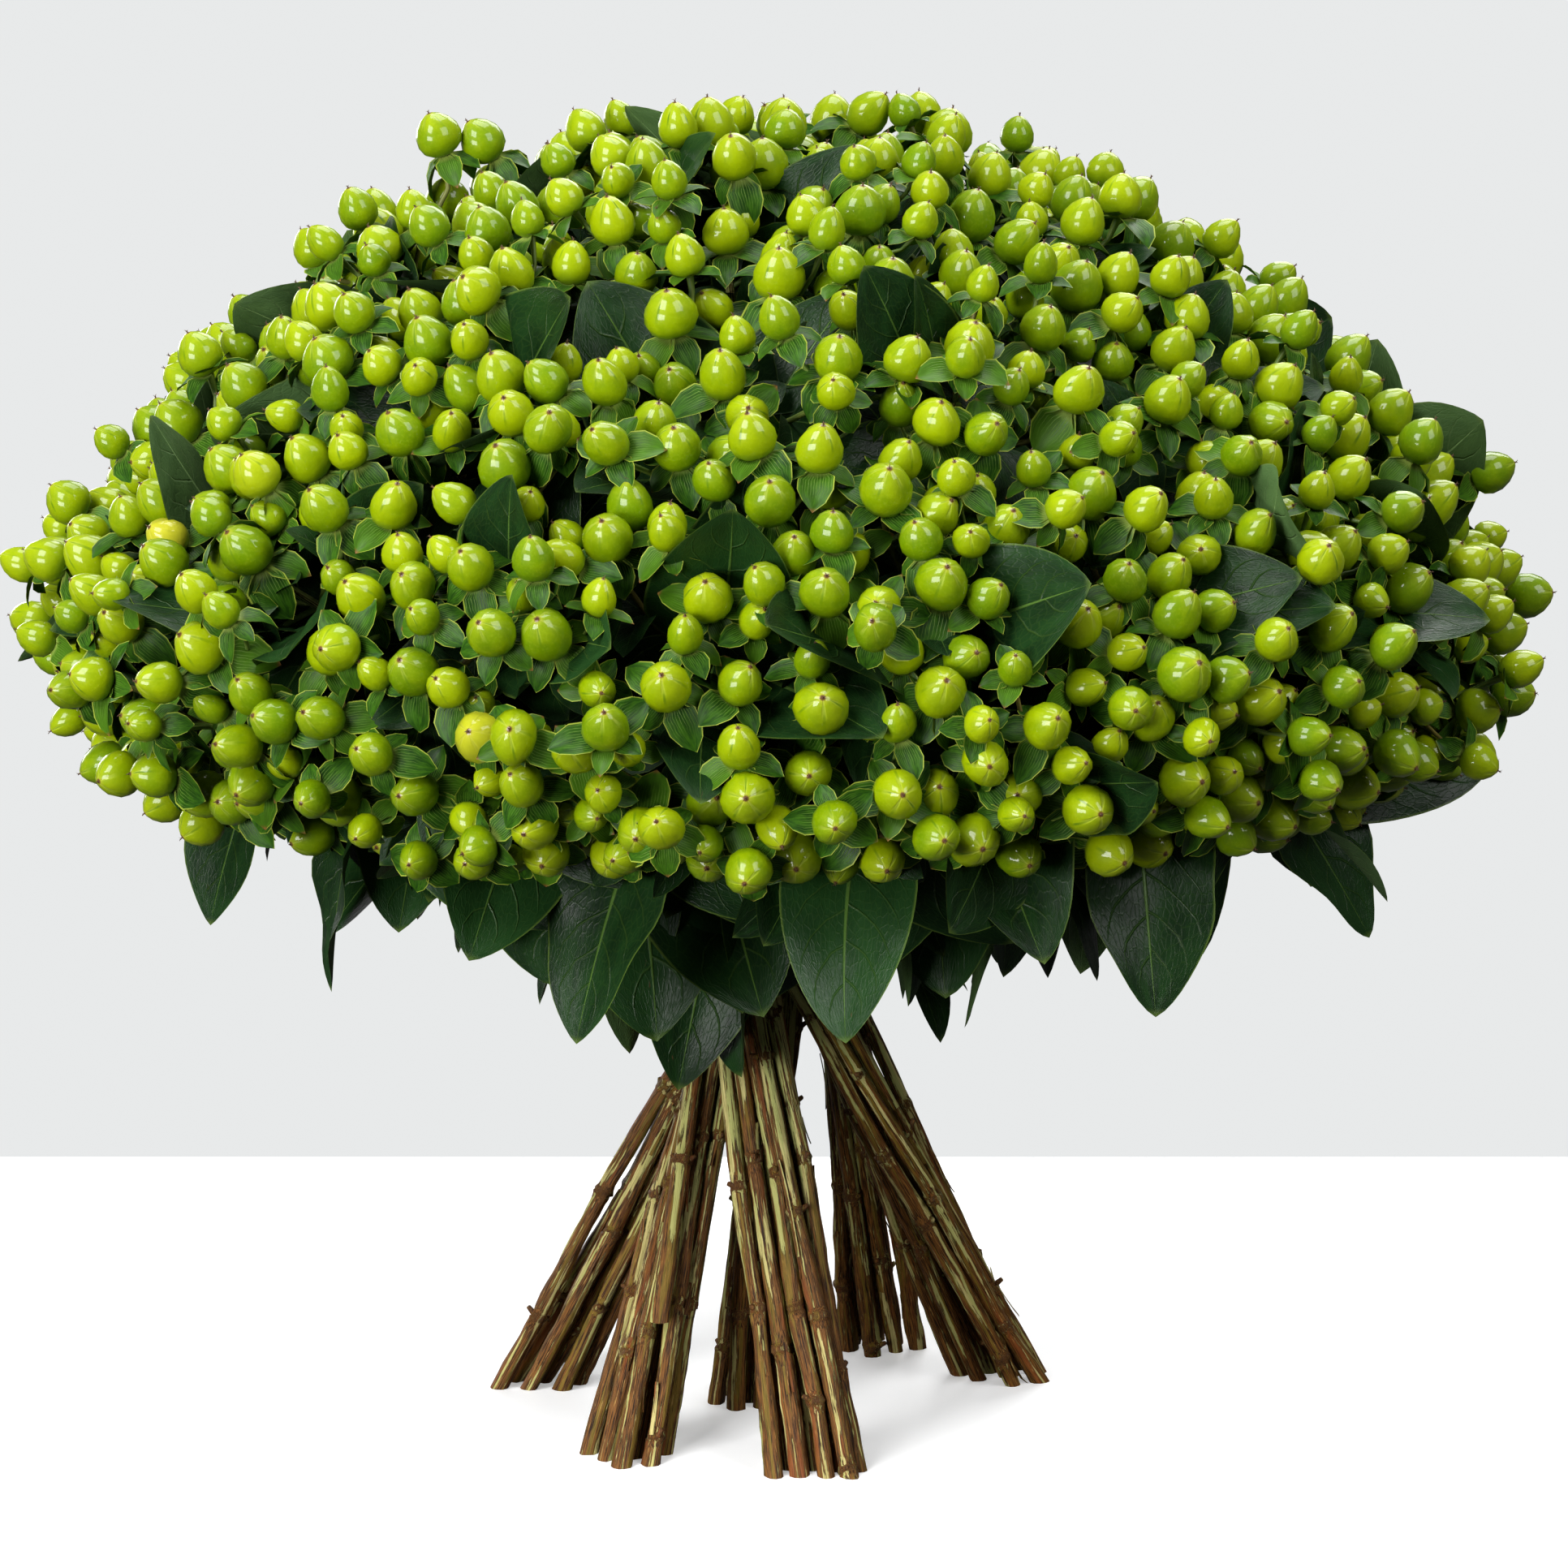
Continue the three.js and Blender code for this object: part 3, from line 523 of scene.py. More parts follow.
def draw_leaf(fork, lean, size, draw):
    free = [i for i in range(4) if not {i, (i + 1) % 4, (i + 3) % 4} & set(fork.grown)]
    index = free[math.floor(draw() * len(free))]
    base, out = fork.sides[index]
    t = math.radians(lean)
    along = turned(out * math.sin(t) + fork.along * math.cos(t), fork.along, (draw() - 0.5) * 0.9)
    up = turned(squared(fork.along, along), along, (draw() - 0.5) * 0.9)
    return make_leaf(base, along, up, size, index)


def draw_hanging_leaf(fork, size, draw):
    outward = turned(unit(vec(fork.at[0], fork.at[1], 0)), vec(0, 0, 1), (draw() - 0.5) * 1.4)
    along = unit(vec(outward[0], outward[1], -0.5 - 1.3 * draw()))
    index = int(np.argmax([out @ along for _, out in fork.sides]))
    up = squared(vec(0, 0, 1) + 0.6 * fork.along, along)
    up = turned(up, along, (draw() - 0.5) * 0.5)
    return make_leaf(fork.sides[index][0], along, up, size, index)


def make_leaf(base, along, up, size, index=0, arch=LEAF_ARCH, fold=LEAF_FOLD, shape=1.0):
    return SimpleNamespace(
        base=base,
        along=along,
        up=up,
        across=np.cross(up, along),
        length=LEAF_LENGTH * size,
        width=LEAF_WIDTH * size * shape,
        index=index,
        arch=arch,
        fold=fold,
    )


def string_beads(stems):
    beads = Beads()
    for owner, stem in enumerate(stems):
        path = [stem.foot, stem.fan] + [row.at for row in stem.rows]
        for start, end in zip(path, path[1:]):
            beads.string(start, end, FAN_R, owner, True)
        for berry in stem.berries:
            if berry.root is not None:
                beads.string(berry.root, berry.neck, STALK_R, owner, False)
            beads.add(berry.at[None], BERRY_R, owner, False)
    return beads


def grow_leaves(stems, draw):
    beads = string_beads(stems)
    leaves = []
    for owner, stem in enumerate(stems):
        outer = stem.skirt is not None
        forks = [stem.skirt, stem.leafy, stem.leafy] if outer else [stem.leafy, stem.leafy]
        for n, fork in enumerate(forks):
            hangs = outer and n < 2
            best, most = None, ENOUGH_ROOM
            for d in range(LEAF_TRIES):
                if most >= PLENTY_ROOM:
                    break
                size = (1.2 if hangs else 1.1) - 0.3 * (d / LEAF_TRIES) - 0.1 * draw()
                if hangs:
                    leaf = draw_hanging_leaf(fork, size, draw)
                else:
                    leaf = draw_leaf(fork, 40 + 38 * draw(), size, draw)
                points = leaf_samples(leaf)
                room = beads.room(leaf, points, owner)
                if room > most:
                    best, most, kept = leaf, room, points
            if best is None:
                continue
            best.owner = owner
            fork.grown[best.index] = best
            leaves.append(best)
            beads.add(kept, 0.5 * LEAF_THICK, owner, False)
    return leaves, beads


def grow_bunch():
    draw = seeded(SEED)
    stems = lay_runs(draw)
    place_heads(stems, draw)
    spread_berries(stems, draw)
    for stem in stems:
        lay_axis(stem, draw)
    settle_bends(stems)
    for i, stem in enumerate(stems):
        turn_axis(stem)
        root_stalks(stem)
        stem.lift = SHORT_LIFT if i % SHORT_EVERY == SHORT_FIRST else 0
    return stems, *grow_leaves(stems, draw)


# ---- What the solids leave out: the other berries, bracts, inner and hanging leaves ----

rng = np.random.default_rng(DETAIL_SEED)


def scatter(low, high):
    return rng.uniform(low, high)


def any_way(reach=1.0):
    return rng.normal(size=3) * (reach / math.sqrt(3))


def stalk_curve(root, start, neck, end):
    reach = math.dist(root, neck)
    return np.array([root, root + start * (STALK_NEAR * reach), neck - end * (END_NEAR * reach), neck])


def make_fruit(at, way, size, curve, owner, drawn=True, first=False):
    """A berry and its stalk's curve. A drawn one has a stalk of its own, and a first one is the solids'."""
    return SimpleNamespace(at=at, facing=way, size=size, curve=curve, owner=owner, drawn=drawn, first=first)


def first_fruit(stems):
    """The berries that the solids have, each with the curve of its stalk."""
    fruit = []
    for owner, stem in enumerate(stems):
        for berry in stem.berries:
            drawn = berry.root is not None
            if drawn:
                start = unit(0.8 * berry.out + 0.7 * berry.along)
                curve = stalk_curve(berry.root, start, berry.neck, berry.facing)
            else:
                curve = stalk_curve(stem.upper.at, stem.upper.along, berry.neck, berry.facing)
            fruit.append(make_fruit(berry.at, berry.facing, berry.size, curve, owner, drawn, True))
    return fruit


def clear_of(beads, at, radius):
    gap = np.sqrt(((beads.at[: beads.count] - at) ** 2).sum(1)) - beads.radius[: beads.count]
    return gap.min() > radius


def beside(parent, at, size, beads):
    """One more berry, on a stalk that leaves its parent's."""
    aside = unit(at - parent.at)
    way = unit(facing(at) + 0.35 * aside + any_way(0.3))
    neck = at - way * (0.5 * BERRY_LENGTH * size)
    reach = math.dist(parent.curve[0], parent.curve[3])
    share = 1 - min(scatter(8, 14), 0.75 * reach) / reach
    root = bezier(parent.curve, share)
    curve = stalk_curve(root, unit(unit(parent.curve[3] - root) + 0.7 * aside), neck, way)
    beads.add(at[None], BERRY_R * size, parent.owner, False)
    return make_fruit(at, way, size, curve, parent.owner)


def fill_heads(fruit, beads):
    """Two to five more berries beside each where there is room, and sprays that stand out of the dome."""
    parents = list(fruit)
    for at in map(np.array, SPRAYS):
        parent = min(parents, key=lambda o: math.dist(o.at, at))
        fruit.append(beside(parent, at, 0.95, beads))
    for parent in parents:
        n = dome_normal(parent.at)
        a = squared(vec(0.3, 0.2, 1), n)
        b = np.cross(n, a)
        count = rng.choice(MORE_BERRIES, p=MORE_ODDS)
        start = scatter(0, math.tau)
        proud = 0.4 if parent.at[2] > 335 else 0.12
        for m in range(count):
            for _ in range(40):
                t = start + math.tau * m / count + 0.5 * rng.normal()
                sunk = scatter(-9, -2) if rng.random() < proud else scatter(-1, 12)
                out = scatter(BESIDE_NEAR, BESIDE_FAR)
                size = scatter(0.7, 0.98)
                at = parent.at + a * (out * math.cos(t)) + b * (out * math.sin(t)) - n * sunk
                in_dome = ragged_rim(at) < at[2] < CROWN_Z
                if in_dome and clear_of(beads, at, BERRY_R * size + 0.1):
                    fruit.append(beside(parent, at, size, beads))
                    break
    return fruit


def leaf_room(leaf, beads):
    """How far a drawn leaf's middle and edges keep from berries and leaves, at their worst."""
    s = np.repeat([0.35, 0.5, 0.65, 0.8, 0.92, 1.0], 5)
    half = 0.5 * leaf.width * blade_width(s) * np.tile([-0.9, -0.45, 0, 0.45, 0.9], 6)
    drop = -leaf.arch * leaf.length * s**2
    points = leaf.base + np.outer(leaf.length * s, leaf.along)
    points = points + np.outer(half, leaf.across) + np.outer(drop, leaf.up)
    n = beads.count
    free = ~beads.axis[:n]
    near = free & (((beads.at[:n] - points[12]) ** 2).sum(1) < 50**2)
    if not near.any():
        return 9.0, points
    gap = np.sqrt(((points[:, None] - beads.at[:n][near][None]) ** 2).sum(-1)) - beads.radius[:n][near]
    return gap.min(), points


def blade_width(s):
    """Share of a leaf's full width at s: ovate, broadest below its middle, with a short point."""
    low = 1 - np.clip(1 - s / 0.38, 0, 1) ** 2.4
    high = (1 - np.clip((s - 0.38) / 0.62, 0, 1) ** 2.0) ** 0.78
    return np.maximum(low * high, 0.08 * (1 - s))


def hides_crossing(points):
    in_front = (abs(points[:, 0] - OPEN_X) < OPEN_REACH) & (points[:, 1] < 5)
    return (in_front & (points[:, 2] < OPEN_Z)).any()


def roomiest(beads, owner, least, tries, draw_one, hidden=lambda points: False):
    """The roomiest of several drawn leaves, if it has this much room, and its points."""
    best, most, kept = None, least, None
    for _ in range(tries):
        leaf = draw_one()
        room, points = leaf_room(leaf, beads)
        if room > most and not hidden(points):
            best, most, kept = leaf, room, points
    if best is not None:
        best.owner = owner
    return best, kept


def settle_leaf(found, beads, owner, least, tries, draw_one):
    """Adds a leaf that leaves the crossing open in front, and that later ones keep clear of."""
    best, points = roomiest(beads, owner, least, tries, draw_one, hides_crossing)
    if best is not None:
        found.append(best)
        beads.add(points, 1.0, owner, False)


def add_pair(found, beads, owner, root, axis, turn, least, tries, stray, lean, size, arch, shape=1.0):
    """Two leaves that face each other across an axis."""
    for half in (0, math.pi):

        def draw_one():
            out = turned(squared(vec(0.2, 0.3, 1), axis), axis, turn + half + stray * rng.normal())
            tilt = math.radians(scatter(*lean))
            along = unit(out * math.sin(tilt) + axis * math.cos(tilt))
            up = squared(axis, along)
            return make_leaf(root, along, up, scatter(*size), arch=scatter(*arch), shape=shape)

        best, _ = roomiest(beads, owner, least, tries, draw_one)
        if best is not None:
            found.append(best)


def bract_pairs(fruit, beads):
    """A pair of small leaves where side stalks leave each of the first berries' stalks."""
    found = []
    for parent in fruit:
        if parent.first:
            share = scatter(0.45, 0.62)
            root = bezier(parent.curve, share)
            stalk = unit(bezier(parent.curve, share + 0.05) - root)
            turn = scatter(0, math.pi)
            add_pair(found, beads, parent.owner, root, stalk, turn, shape=BRACT_SHAPE, **BRACTS)
    return found


def inner_pairs(stems, beads):
    """Pairs of leaves along the arched runs, inside the head."""
    found = []
    for owner, stem in enumerate(stems):
        points = [stem.fan] + [row.at for row in stem.rows]
        turn = scatter(0, math.pi)
        for k, share in ((2, 0.2), (2, 0.6), (2, 0.95), (3, 0.6)):
            root = points[k] + (points[k + 1] - points[k]) * share
            turn += math.pi / 2
            add_pair(found, beads, owner, root, unit(points[k + 1] - points[k]), turn, **INNER)
    return found


def hanging_leaves(stems, beads):
    """Large leaves that hang under the head and round the crossing, or reach out under its rim."""
    found = []
    for ring, k, shares, size, droop, least in HANGING:
        for owner, stem in enumerate(stems):
            if stem.ring < ring:
                continue
            path = [stem.foot + stem.run * 150 / stem.run[2], stem.fan] + [row.at for row in stem.rows[:3]]
            root = path[k] + (path[k + 1] - path[k]) * scatter(*shares)
            axis = unit(path[k + 1] - path[k])

            def draw_one():
                outward = turned(unit(vec(root[0], root[1], 0)), vec(0, 0, 1), 0.7 * rng.normal())
                along = unit(vec(outward[0], outward[1], -scatter(*droop)))
                up = turned(squared(vec(0, 0, 1) + 0.3 * axis, along), along, scatter(-1.0, 1.0))
                bend, fold, wide = scatter(0.05, 0.38), scatter(0.05, 0.5), scatter(1.0, 1.4)
                return make_leaf(root, along, up, size * scatter(0.85, 1.2), 0, bend, fold, wide)

            settle_leaf(found, beads, owner, least, 18, draw_one)
    return found


def peeping_leaves(stems, beads):
    """Large leaves that come out between the berries, their tips level with them or a little proud."""
    found = []
    for owner, stem in enumerate(stems):
        for _ in range(2):
            root = stem.lower.at + (stem.upper.at - stem.lower.at) * scatter(-0.3, 0.8)
            n = dome_normal(stem.head)
            axis = unit(stem.head - root)

            def draw_one():
                aside = turned(squared(vec(0.2, 0.1, 1), n), n, scatter(0, math.tau))
                goal = onto_dome(stem.head + aside * scatter(24, 46), scatter(0, 19))
                along = unit(goal - root)
                up = turned(squared(axis, along), along, scatter(-0.5, 0.5))
                size = min(math.dist(goal, root) / LEAF_LENGTH * scatter(1.0, 1.15), 1.2)
                return make_leaf(root, along, up, size, arch=scatter(0.02, 0.2), shape=scatter(0.95, 1.2))

            settle_leaf(found, beads, owner, 0.6, 30, draw_one)
    return found


# ---- Meshes ----


class Pile:
    """Many copies of one kind of form, gathered into a single mesh."""

    def __init__(self):
        self.places, self.quads, self.skins, self.marks = [], [], [], []
        self.count = 0

    def add(self, points, quads, marks, skin=0):
        """points and marks are (copies, points of one copy, 3 and 4).

        A quad whose last two corners match is a triangle.
        """
        copies, each = points.shape[:2]
        starts = self.count + each * np.arange(copies)
        self.places.append(points.reshape(-1, 3))
        self.marks.append(marks.reshape(-1, 4))
        self.quads.append((starts[:, None, None] + quads[None]).reshape(-1, 4))
        self.skins.append(np.full(copies * len(quads), skin))
        self.count += copies * each

    def add_grids(self, points, marks, skin=0, **joints):
        """points and marks are (copies, rows, columns, 3 and 4)."""
        copies, rows, columns, _ = points.shape
        quads = grid_quads(rows, columns, **joints)
        self.add(points.reshape(copies, -1, 3), quads, marks.reshape(copies, -1, 4), skin)

    def finish(self, name, materials, slot, replaced=()):
        places = (np.concatenate(self.places) + OFFSET) * 0.001
        quads = np.concatenate(self.quads)
        marks = np.concatenate(self.marks).astype(np.float32)
        sides = np.where(quads[:, 2] == quads[:, 3], 3, 4)
        corners = quads[np.arange(4)[None] < sides[:, None]]
        mesh = bpy.data.meshes.new(name)
        mesh.vertices.add(len(places))
        mesh.vertices.foreach_set("co", places.astype(np.float32).ravel())
        mesh.loops.add(len(corners))
        mesh.loops.foreach_set("vertex_index", corners.astype(np.int32))
        mesh.polygons.add(len(quads))
        mesh.polygons.foreach_set("loop_start", (np.cumsum(sides) - sides).astype(np.int32))
        mesh.polygons.foreach_set("loop_total", sides.astype(np.int32))
        mesh.polygons.foreach_set("material_index", np.concatenate(self.skins).astype(np.int32))
        mesh.polygons.foreach_set("use_smooth", np.ones(len(quads), bool))
        mesh.attributes.new("place", "FLOAT_VECTOR", "POINT").data.foreach_set("vector", marks[:, :3].ravel())
        mesh.attributes.new("tone", "FLOAT", "POINT").data.foreach_set("value", marks[:, 3].ravel())
        mesh.update(calc_edges=True)
        for material in materials:
            mesh.materials.append(material)
        piece = bpy.data.objects.new(name, mesh)
        bpy.context.scene.collection.objects.link(piece)
        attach(piece, "root")
        if replaced:
            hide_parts(*replaced)


def grid_quads(rows, columns, closed=False, flip=False, pointed=False):
    """Quads between the rows of a grid.

    Flipped ones split along the same diagonals, and pointed ones end in triangles.
    """
    i, j = np.meshgrid(np.arange(rows - 1), np.arange(columns if closed else columns - 1), indexing="ij")
    low, high = i * columns, (i + 1) * columns
    next_j = (j + 1) % columns
    quads = np.stack([low + j, low + next_j, high + next_j, high + j], -1).reshape(-1, 4)
    if flip:
        quads = quads[:, [0, 3, 2, 1]]
    if pointed:
        kept, dropped = (3, 2) if flip else (2, 3)
        quads[1 - columns :, dropped] = quads[1 - columns :, kept]
    return quads


def fan_quads(ring, sides, pole, flip=False):
    """Triangles from a ring of points, which starts at this one, to a pole."""
    pairs = [(ring + j, ring + (j + 1) % sides) for j in range(sides)]
    return np.array([(b, a, pole, pole) if flip else (a, b, pole, pole) for a, b in pairs])


def marks_of(x, y, z, tone):
    """Four numbers a point: its place on its own form, and its tone."""
    return np.stack(np.broadcast_arrays(x, y, z, tone), -1)


def frames_of(ways, tilt):
    """Two directions square to each way."""
    a = squared(np.broadcast_to(np.array(tilt, float), ways.shape), ways)
    return a, np.cross(ways, a)


def pile_berries(pile, fruit):
    """Berries with five shallow lobes and a pointed tip. Gives back what their other parts are set by."""
    at, way, size = gather(fruit, "at", "facing", "size")
    n = len(fruit)
    seed = rng.random(n)
    lengthen = rng.normal(0, 0.035, n)
    a, b = frames_of(way, (0.3, -0.5, 0.2))
    t = BERRY_TURNS * math.pi
    outline = np.sin(t) ** (0.78 + 0.24 * BERRY_TURNS) * (1 + 0.10 * np.cos(t))
    height = -np.cos(t) + 0.07 * smooth((BERRY_TURNS - 0.72) / 0.28)
    angle = circle(BERRY_SIDES)
    lobes = smooth((BERRY_TURNS - 0.4) / 0.45)[:, None] * (0.5 + 0.5 * np.cos(5 * angle))[None]
    low = 0.92 + 0.05 * (BERRY_TURNS < 0.2)[:, None] * np.cos(5 * angle)[None]
    radius = outline[:, None] * np.where(BERRY_TURNS[:, None] < 0.2, low, 1)
    radius = radius * (1.02 - rng.uniform(0.03, 0.15, (n, 1, 1)) * lobes)
    bulge = np.cos(3 * angle + math.tau * seed[:, None, None]) * np.sin(t)[:, None]
    radius = radius * (1 + rng.uniform(0.0, 0.035, (n, 1, 1)) * bulge)
    x = (radius * np.cos(angle)).reshape(n, -1)
    y = (radius * np.sin(angle)).reshape(n, -1)
    x, y = (np.concatenate([v, np.zeros((n, 2))], 1) for v in (x, y))
    z = np.append(np.repeat(height, BERRY_SIDES), [-1.0, 1.075])[None] + 0 * x
    squash = 1 + 0.04 * rng.normal(size=(n, 1))
    wide = BERRY_R * size[:, None] * (1 - lengthen[:, None])
    tall = 0.5 * BERRY_LENGTH * (size * (1 + lengthen))[:, None]
    points = (
        at[:, None]
        + a[:, None] * (x * wide * squash)[..., None]
        + b[:, None] * (y * wide / squash)[..., None]
        + way[:, None] * (z * tall)[..., None]
    )
    rows = len(BERRY_TURNS)
    neck_pole, tip_pole = rows * BERRY_SIDES, rows * BERRY_SIDES + 1
    neck = fan_quads(0, BERRY_SIDES, neck_pole, flip=True)
    crown = fan_quads(neck_pole - BERRY_SIDES, BERRY_SIDES, tip_pole)
    quads = np.concatenate([grid_quads(rows, BERRY_SIDES, closed=True), neck, crown])
    pile.add(points, quads, marks_of(x, y, z, seed[:, None]))
    return at + way * (1.06 * tall[:, :1]), way, size, a, b


# A short five-sided peg: two rings and a point.
STUB_QUADS = np.concatenate([grid_quads(2, 5, closed=True), fan_quads(5, 5, 10)])
# A hook: two triangles of points and an end.
HOOK_QUADS = np.array([[0, 1, 4, 3], [1, 2, 5, 4], [2, 0, 3, 5], [3, 4, 6, 6], [4, 5, 6, 6], [5, 3, 6, 6]])


def pile_styles(pile, tip, way, size, a, b):
    """The dry remains of the style: a small collar and three short hooks."""
    n = len(tip)
    turn = rng.uniform(0, math.tau, n)
    ring = around(a, b, circle(5)) * size[:, None, None]
    collar = (0.42, -0.25), (0.28, 0.2)
    rings = [tip[:, None] + ring * radius + way[:, None] * rise for radius, rise in collar]
    points = np.concatenate([*rings, (tip + way * 0.3)[:, None]], 1)
    pile.add(points, STUB_QUADS, marks_of(*np.moveaxis(points * 0.3, -1, 0), 0.5))
    for hook in range(3):
        out_angle = turn + math.tau * hook / 3 + rng.normal(0, 0.25, n)
        out = a * np.cos(out_angle)[:, None] + b * np.sin(out_angle)[:, None]
        side = np.cross(way, out)
        long = rng.uniform(0.5, 1.1, n)[:, None]
        base = tip + out * 0.1 + way * 0.2
        knee = base + way * (0.7 * long) + out * (0.25 * long)
        end = knee + out * (0.6 * long) + way * (0.1 * long)
        thick = 0.13
        foot = [base + side * thick, base - side * thick, base - out * thick * 1.4]
        bent = [knee + side * thick, knee - side * thick, knee - out * thick * 1.2]
        points = np.stack([*foot, *bent, end], 1)
        pile.add(points, HOOK_QUADS, marks_of(*np.moveaxis(points * 0.3, -1, 0), 0.5))


def pile_sepals(pile, fruit, a, b):
    """Five broad sepals behind each berry, two of them larger, spread wide or bent back."""
    n = len(fruit)
    at, way, size = gather(fruit, "at", "facing", "size")
    neck = at - way * (0.5 * BERRY_LENGTH * size)[:, None]
    turn = rng.uniform(0, math.tau, n)
    bend = rng.normal(-0.25, 0.3, n).clip(-0.9, 0.25)
    s = np.linspace(0, 1, SEPAL_ROWS) ** 0.9
    v = np.linspace(-1, 1, SEPAL_COLUMNS)
    for k in range(5):
        angle = turn + math.tau * k / 5 + rng.normal(0, 0.1, n)
        out = a * np.cos(angle)[:, None] + b * np.sin(angle)[:, None]
        aside = np.cross(way, out)
        large = 1.0 if k in (0, 2) else 0.8
        long = (SEPAL_LENGTH * large * rng.uniform(0.85, 1.12, n) * size)[:, None]
        wide = 0.5 * long * rng.uniform(0.62, 0.80, (n, 1))
        lift = (bend + rng.normal(0, 0.16, n))[:, None]
        curl = rng.uniform(0.25, 1.0, (n, 1))
        run = long * (np.sin(lift) - np.sin(lift - curl * s)) / curl
        rise = long * (np.cos(lift - curl * s) - np.cos(lift)) / curl
        slope = lift - curl * s
        width = wide * np.maximum(np.sin(math.pi * s**0.78) ** 0.75, 0.34 * (1 - s))
        line = neck[:, None] + out[:, None] * (run + 1.1)[..., None] + way[:, None] * (rise + 0.35)[..., None]
        normal = way[:, None] * np.cos(slope)[..., None] - out[:, None] * np.sin(slope)[..., None]
        wave = rng.normal(0, 0.12, (n, 1)) * np.sin(5 * s + 6 * rng.random((n, 1)))
        across = (width[..., None] * v)[..., None] * aside[:, None, None]
        cup = (width * 0.28)[..., None] * v**2 + (wave * width)[..., None] * v
        points = line[:, :, None] + across + cup[..., None] * normal[:, :, None]
        seed = rng.random(n)[:, None, None]
        pile.add_grids(points, marks_of(s[:, None], v, seed, seed), pointed=True)


def pile_stalks(pile, fruit, sides=5, rows=5):
    drawn = [o for o in fruit if o.drawn]
    curves, size = gather(drawn, "curve", "size")
    shares = np.linspace(0, 1, rows)
    line = bezier(np.moveaxis(curves, 1, 0)[:, :, None], shares[None, :, None])
    way = unit(np.gradient(line, axis=1))
    a, b = frames_of(way, (0.21, -0.4, 0.6))
    radius = (STALK_R * (1.05 - 0.25 * shares + 0.55 * smooth((shares - 0.75) / 0.25)))[None] * size[:, None]
    angle = circle(sides)
    points = line[:, :, None] + around(a, b, angle) * radius[..., None, None]
    tone = rng.random(len(drawn))[:, None, None]
    pile.add_grids(points, marks_of(np.cos(angle), np.sin(angle), shares[:, None] * 2, tone), closed=True)


def pile_leaves(pile, leaves, rows, columns, thick=0.0, wave=0.09):
    """Blades on a grid. A thick one has a face and an underside that meet at its edge."""
    if not leaves:
        return
    n = len(leaves)
    base, along, across, up = gather(leaves, "base", "along", "across", "up")
    long, wide, arch, fold = (v[:, None, None] for v in gather(leaves, "length", "width", "arch", "fold"))
    s = 1 - (1 - np.linspace(0, 1, rows)[None, :, None]) ** 1.35
    v = np.linspace(-1, 1, columns)[None, None, :]
    half = 0.5 * wide * blade_width(s) * v
    seed = rng.random(n)[:, None, None]
    ripple = np.sin(math.tau * (rng.uniform(1.0, 2.6, (n, 1, 1)) * s + seed) + 1.2 * np.sign(v))
    ripple = ripple * rng.uniform(0.4, 1.9, (n, 1, 1))
    twist = rng.normal(0, 0.32, (n, 1, 1)) * s * half
    puff = 0.010 * long * np.cos(math.tau * (6.5 * (s - 0.28 * abs(v)) + seed)) * abs(v) * (1 - abs(v)) * 4
    lift = fold * abs(half) - arch * long * s**2 + wave * wide * ripple * abs(v) ** 1.6 * blade_width(s) * 0.5
    lift = lift + twist - puff * smooth(s / 0.2) * smooth((1 - s) / 0.25)
    sway = rng.normal(0, 0.07, (n, 1, 1)) * long * s**2
    middle = (
        base[:, None, None]
        + along[:, None, None] * (long * s)[..., None]
        + across[:, None, None] * (half + sway)[..., None]
        + up[:, None, None] * lift[..., None]
    )
    marks = marks_of(s, v, seed, seed)
    puffed = up[:, None, None] * (0.5 * thick * (1 - np.abs(v) ** 6) * smooth((1 - s) / 0.06))[..., None]
    pile.add_grids(middle + puffed, marks, 0, pointed=True)
    if thick:
        pile.add_grids(middle - puffed, marks, 1, flip=True, pointed=True)


# ---- Woody axes ----


def axis_line(stem):
    """Places along a stem from its cut foot to its tip berry, close together low down."""
    foot = stem.foot + stem.run * (stem.lift / stem.run[2])
    straight = math.dist(foot, stem.fan)
    knots = np.array([stem.fan] + [row.at for row in stem.rows])
    steps = np.append(0, np.cumsum(np.sqrt((np.diff(knots, axis=0) ** 2).sum(1))))
    slopes = np.gradient(knots, steps, axis=0)
    slopes[0], slopes[-1] = stem.run, stem.berries[0].facing
    joints = straight + steps
    nodes = np.cumsum(rng.uniform(*NODE_STEP, 12)) - scatter(0, 25)
    nodes = nodes[nodes < joints[-1] - 30]
    low = np.arange(0, straight, STEM_STEP_LOW)
    high = np.arange(straight, joints[-1], STEM_STEP_HIGH)
    marks = np.concatenate([low, high, *(nodes + d for d in (-1.6, -0.6, 0.4, 1.6)), [joints[-1]]])
    marks = np.unique(np.round(marks[(marks >= 0) & (marks <= joints[-1])], 3))
    line = foot + marks[:, None] * stem.run
    for i in np.flatnonzero(marks > straight):
        k = min(np.searchsorted(joints, marks[i]) - 1, len(knots) - 2)
        h = steps[k + 1] - steps[k]
        t = (marks[i] - joints[k]) / h
        line[i] = (
            knots[k] * (2 * t**3 - 3 * t**2 + 1)
            + slopes[k] * (h * (t**3 - 2 * t**2 + t))
            + knots[k + 1] * (3 * t**2 - 2 * t**3)
            + slopes[k + 1] * (h * (t**3 - t**2))
        )
    radius = np.interp(marks, [0, straight, joints[-1] - FORK_UPPER, joints[-1]], [FOOT_R, FAN_R, 1.35, 0.9])
    knees = np.concatenate([[0], nodes, [joints[-1]]])
    aside = rng.normal(0, 0.6, (len(knees), 3)) * ((knees > 0) & (knees < straight))[:, None]
    line += np.stack([np.interp(marks, knees, aside[:, i]) for i in range(3)], -1)
    radius = radius * np.interp(marks, knees, 1 + rng.normal(0, 0.08, len(knees)))
    swell = np.zeros(len(marks))
    for node in nodes:
        swell = np.maximum(swell, np.exp(-(((marks - node) / 1.3) ** 2)))
    return marks, line, radius, swell, nodes


